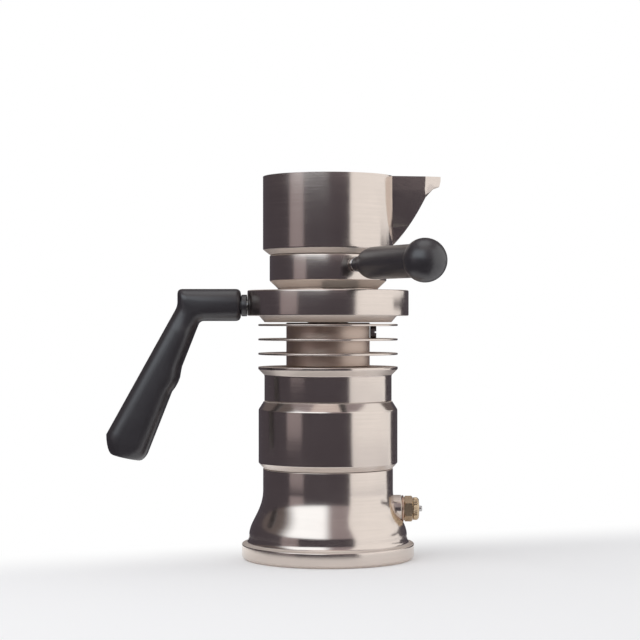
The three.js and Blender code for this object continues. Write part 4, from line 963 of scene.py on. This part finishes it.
# Portafilter: a turned cup held mouth down in the group head by three lugs. The coffee leaves by a steel
# nipple in its middle, whose silicone ring seals the jug's column.
SEAL_SIDES = 16
cup_neck, cup_neck_height, cup_chamfer, cup_radius = 30.0, 8.2, 4.7, 35.0
rim_hole, rim_depth, cup_bore, cup_depth = 28.3, 1.3, 25.7, 18.2
cone_foot, cone_height = 8.8, 21.5
lug_radius, lug_height, lug_half, lug_gap = 36.0, 3.0, radians(18), 0.6
nipple_radius, nipple_bore, nipple_gap, nipple_foot = 5.9, 3.0, 0.3, 1.6
groove_depth, groove_margin = 1.4, 0.2
low, high = corners("portafilter")
cup_low, cup_high, bevel_low = low.z, high.z, low.z + cup_neck_height
outline = [
    (rim_hole, cup_low),
    (cup_neck, cup_low, 0.2),
    (cup_neck, bevel_low, 0.3),
    (cup_radius, bevel_low + cup_chamfer, 0.5),
    (cup_radius, cup_high, 1.0),
    (nipple_radius + nipple_gap, cup_high),
    (nipple_radius + nipple_gap, cup_low + cone_height),
    (cone_foot, cup_low + cone_height),
    (cup_bore, cup_low + cup_depth),
    (cup_bore, cup_low + rim_depth),
    (rim_hole, cup_low + rim_depth),
]
holder = lathe("portafilter_cup", outline)
lug_edges = (rim_hole + lug_gap, lug_radius, cup_low, cup_low + lug_height)
for i in range(3):
    combine(holder, block("lug", *lug_edges, tau * i / 3, lug_half), "UNION")
dress(holder, nickel, "filter_holder", "satin_nickel", "portafilter")
low, high = corners("outlet_nipple")
seal_low, seal_high = corners("nipple_seal")
groove_low, groove_high = seal_low.z - groove_margin, seal_high.z + groove_margin
outline = [
    (nipple_bore, low.z),
    (high.y, low.z),
    (high.y, low.z + nipple_foot),
    (nipple_radius, low.z + nipple_foot),
    (nipple_radius, groove_low, 0.15),
    (nipple_radius - groove_depth, groove_low),
    (nipple_radius - groove_depth, groove_high),
    (nipple_radius, groove_high, 0.15),
    (nipple_radius, high.z, 0.8),
    (nipple_bore, high.z, 0.4),
]
nipple = lathe("outlet_nipple_turned", outline, steps=COLLAR_STEPS)
dress(nipple, plain_steel, "filter_holder", "plain_steel", "outlet_nipple")
seal_half, seal_middle = (seal_high.z - seal_low.z) / 2, (seal_low.z + seal_high.z) / 2
round_section = []
for i in range(SEAL_SIDES):
    angle = tau * i / SEAL_SIDES
    across = seal_high.y - seal_half + seal_half * cos(angle)
    round_section.append((across, seal_middle + seal_half * sin(angle)))
seal = lathe("nipple_seal_ring", round_section, steps=COLLAR_STEPS)
dress(seal, silicone, "filter_holder", "seal_rubber", "nipple_seal")

# Portafilter handle: a black nylon bar turned to a flared neck, a straight barrel and a ball end, on a stud
# in the cup's side. A steel collar stands between the two.
FLARE_STEPS, BALL_STEPS, LEVER_STEPS = 12, 20, 96
lever_azimuth, lever_height = radians(-63), 175.0
lever_place = crosswise(lever_height, lever_azimuth)
collar_radius, collar_start, collar_end = 4.6, 35.6, 38.2
lever_start, stud_end = 38.5, 60.3
flare_start, flare_end, flare_pull, barrel_pull = 41.5, 58.5, 4.25, 8.5
neck, barrel, ball, ball_reach = 4.4, 9.35, 12.19, 115.0
meet = acos(barrel / ball)
flare_pulls = ((neck, flare_start + flare_pull), (barrel, flare_end - barrel_pull))
flare = curve_points((neck, flare_start), *flare_pulls, (barrel, flare_end), FLARE_STEPS)
ball_line = []
for i in range(BALL_STEPS):
    angle = -meet + (pi / 2 + meet) * i / BALL_STEPS
    ball_line.append((ball * cos(angle), ball_reach + ball * sin(angle)))
outline = [
    (0, stud_end),
    (stud_bore, stud_end),
    (stud_bore, lever_start),
    (neck, lever_start, 0.4),
    (neck, flare_start),
    *flare,
    *ball_line,
    (0, ball_reach + ball),
]
bar = lathe("portafilter_handle_bar", outline, lever_place, LEVER_STEPS)
dress(bar, nylon, "filter_holder", "black_nylon", "portafilter_handle")
collar_steel = turned_metal("collar_steel", STEEL, 0.2, 0.0004, lever_place)
collar_sizes = (stud_bore, collar_radius, collar_start, collar_end, (0, 0.3, 0.3, 0))
collar = sleeve("lever_collar_sleeve", *collar_sizes, lever_place, COLLAR_STEPS)
dress(collar, collar_steel, "filter_holder", "plain_steel", "lever_collar")

# Jug: a thin-walled turned beaker with a bevelled foot and a folded beak. The beak's keel sweeps up to a
# small lip. A closed column in the middle fits over the nipple and lets the coffee out of four ports.
BEAK_STEPS = 14
LIP_SHARES = ((0, 1), (0.06, 0.95), (0.45, 0.6), (0.84, 0.25), (0.95, 0.14), (1, 0.04))
CREASE_SHARE = 0.98
jug_radius, jug_wall, jug_floor, jug_bevel = 39.0, 1.6, 2.6, (4.0, 3.1)
column_radius, column_flange, column_gap = 7.5, 11.0, 0.3
beak_foot, beak_bend, beak_reach, lip_low = 5.9, 34.4, 58.2, 39.9
beak_half, nose_half, beak_root = 9.3, 4.2, 30.0
keel_pull, tip_length, lip_rounding = (0.56, 0.4), 0.3, 0.8
low, high = corners("jug")
jug_low, jug_high, lip_reach, hole_radius = low.z, high.z, high.x, column_radius + column_gap


def beak_section(height, keel, half, nose, tip, inset):
    """A level section of the beak, drawn in by an inset. From its keel on it narrows to a rounded end."""
    half, nose = max(half - inset, inset / 2), max(nose - inset / 2, inset / 2)
    side = [(beak_root, half), between((beak_root, half), (keel - inset, nose), CREASE_SHARE)]
    for reach_share, width_share in LIP_SHARES:
        side.append((keel - inset + (tip - keel) * reach_share, nose * width_share))
    return [Vector((x, y, height)) for x, y in side] + [Vector((x, -y, height)) for x, y in reversed(side)]


def beak(name, inset, rise, top):
    """The beak as a skin over level sections, from its foot on the wall up to the rim."""
    reach = beak_reach - jug_radius
    pull = Vector((jug_radius + keel_pull[0] * reach, beak_foot + keel_pull[1] * (beak_bend - beak_foot)))
    start, end = Vector((jug_radius, beak_foot)), Vector((beak_reach, beak_bend))
    sections = []
    for i in range(BEAK_STEPS + 1):
        t = i / BEAK_STEPS
        x, z = start * (1 - t) ** 2 + pull * 2 * t * (1 - t) + end * t**2
        half = inset / 2 + (beak_half - inset / 2) * (x - jug_radius) / reach
        nose = min(half, nose_half)
        sections.append(beak_section(jug_low + z + rise, x, half, nose, x + tip_length, inset))
    lip_middle = (lip_low + jug_high - jug_low) / 2
    lip = [
        (lip_low - lip_rounding + rise, (beak_reach + lip_reach) / 2),
        (lip_low + lip_rounding + rise, lip_reach - lip_rounding),
        (lip_middle + lip_rounding + rise, lip_reach),
        (top - jug_low, lip_reach),
    ]
    for z, tip in lip:
        sections.append(beak_section(jug_low + z, beak_reach, beak_half, nose_half, tip, inset))
    return skin(name, sections)


outline = [
    (hole_radius, jug_low),
    (jug_radius - jug_bevel[0], jug_low, 0.4),
    (jug_radius, jug_low + jug_bevel[1], 0.6),
    (jug_radius, jug_high),
    (hole_radius, jug_high),
]
jug = lathe("jug_beaker", outline)
combine(jug, beak("beak_outside", 0, 0, jug_high), "UNION")
jug_bore, cut_top = jug_radius - jug_wall, jug_high + cut_margin
outline = [
    (0, jug_low + jug_floor),
    (jug_radius - jug_bevel[0] - jug_wall / 2, jug_low + jug_floor, 1.0),
    (jug_bore, jug_low + jug_bevel[1] + jug_wall / 2, 1.0),
    (jug_bore, cut_top),
    (0, cut_top),
]
combine(jug, lathe("hollow", outline), "DIFFERENCE")
combine(jug, beak("beak_inside", jug_wall, jug_wall, cut_top), "DIFFERENCE")
dress(jug, nickel, "pouring_jug", "satin_nickel", "jug")

column_bore, socket, socket_top = 4.5, 6.5, jug_low + 11.5
flange_low, flange_thickness = jug_low + jug_floor + column_gap, 1.5
dome_height, dome_foot_rise, dome_inset = 2.4, 1.2, 1.6
dome_wall, bore_dome = 1.5, 3.0
port_radius, port_reach, port_height, PORT_STEPS = 2.2, 9.5, 27, 32
low, high = corners("jug_column")
dome_foot, flange_high = high.z - dome_height, flange_low + flange_thickness
outline = [
    (0, dome_foot - dome_wall),
    (column_bore, dome_foot - bore_dome),
    (column_bore, socket_top),
    (socket, socket_top),
    (socket, low.z, 0.4),
    (column_radius, low.z, 0.2),
    (column_radius, flange_low),
    (column_flange, flange_low),
    (column_flange, flange_high, 0.4),
    (column_radius, flange_high),
    (column_radius, dome_foot + dome_foot_rise, 1.2),
    (column_radius - dome_inset, high.z, 1.2),
    (0, high.z),
]
column = lathe("jug_column_turned", outline, steps=COLLAR_STEPS)
for azimuth in (0, pi / 2):
    port_place = crosswise(jug_low + port_height, azimuth)
    port = round_bar("port", port_radius, -port_reach, port_reach, port_place, PORT_STEPS)
    combine(column, port, "DIFFERENCE")
dress(column, plain_steel, "pouring_jug", "plain_steel", "jug_column")

low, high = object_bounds()
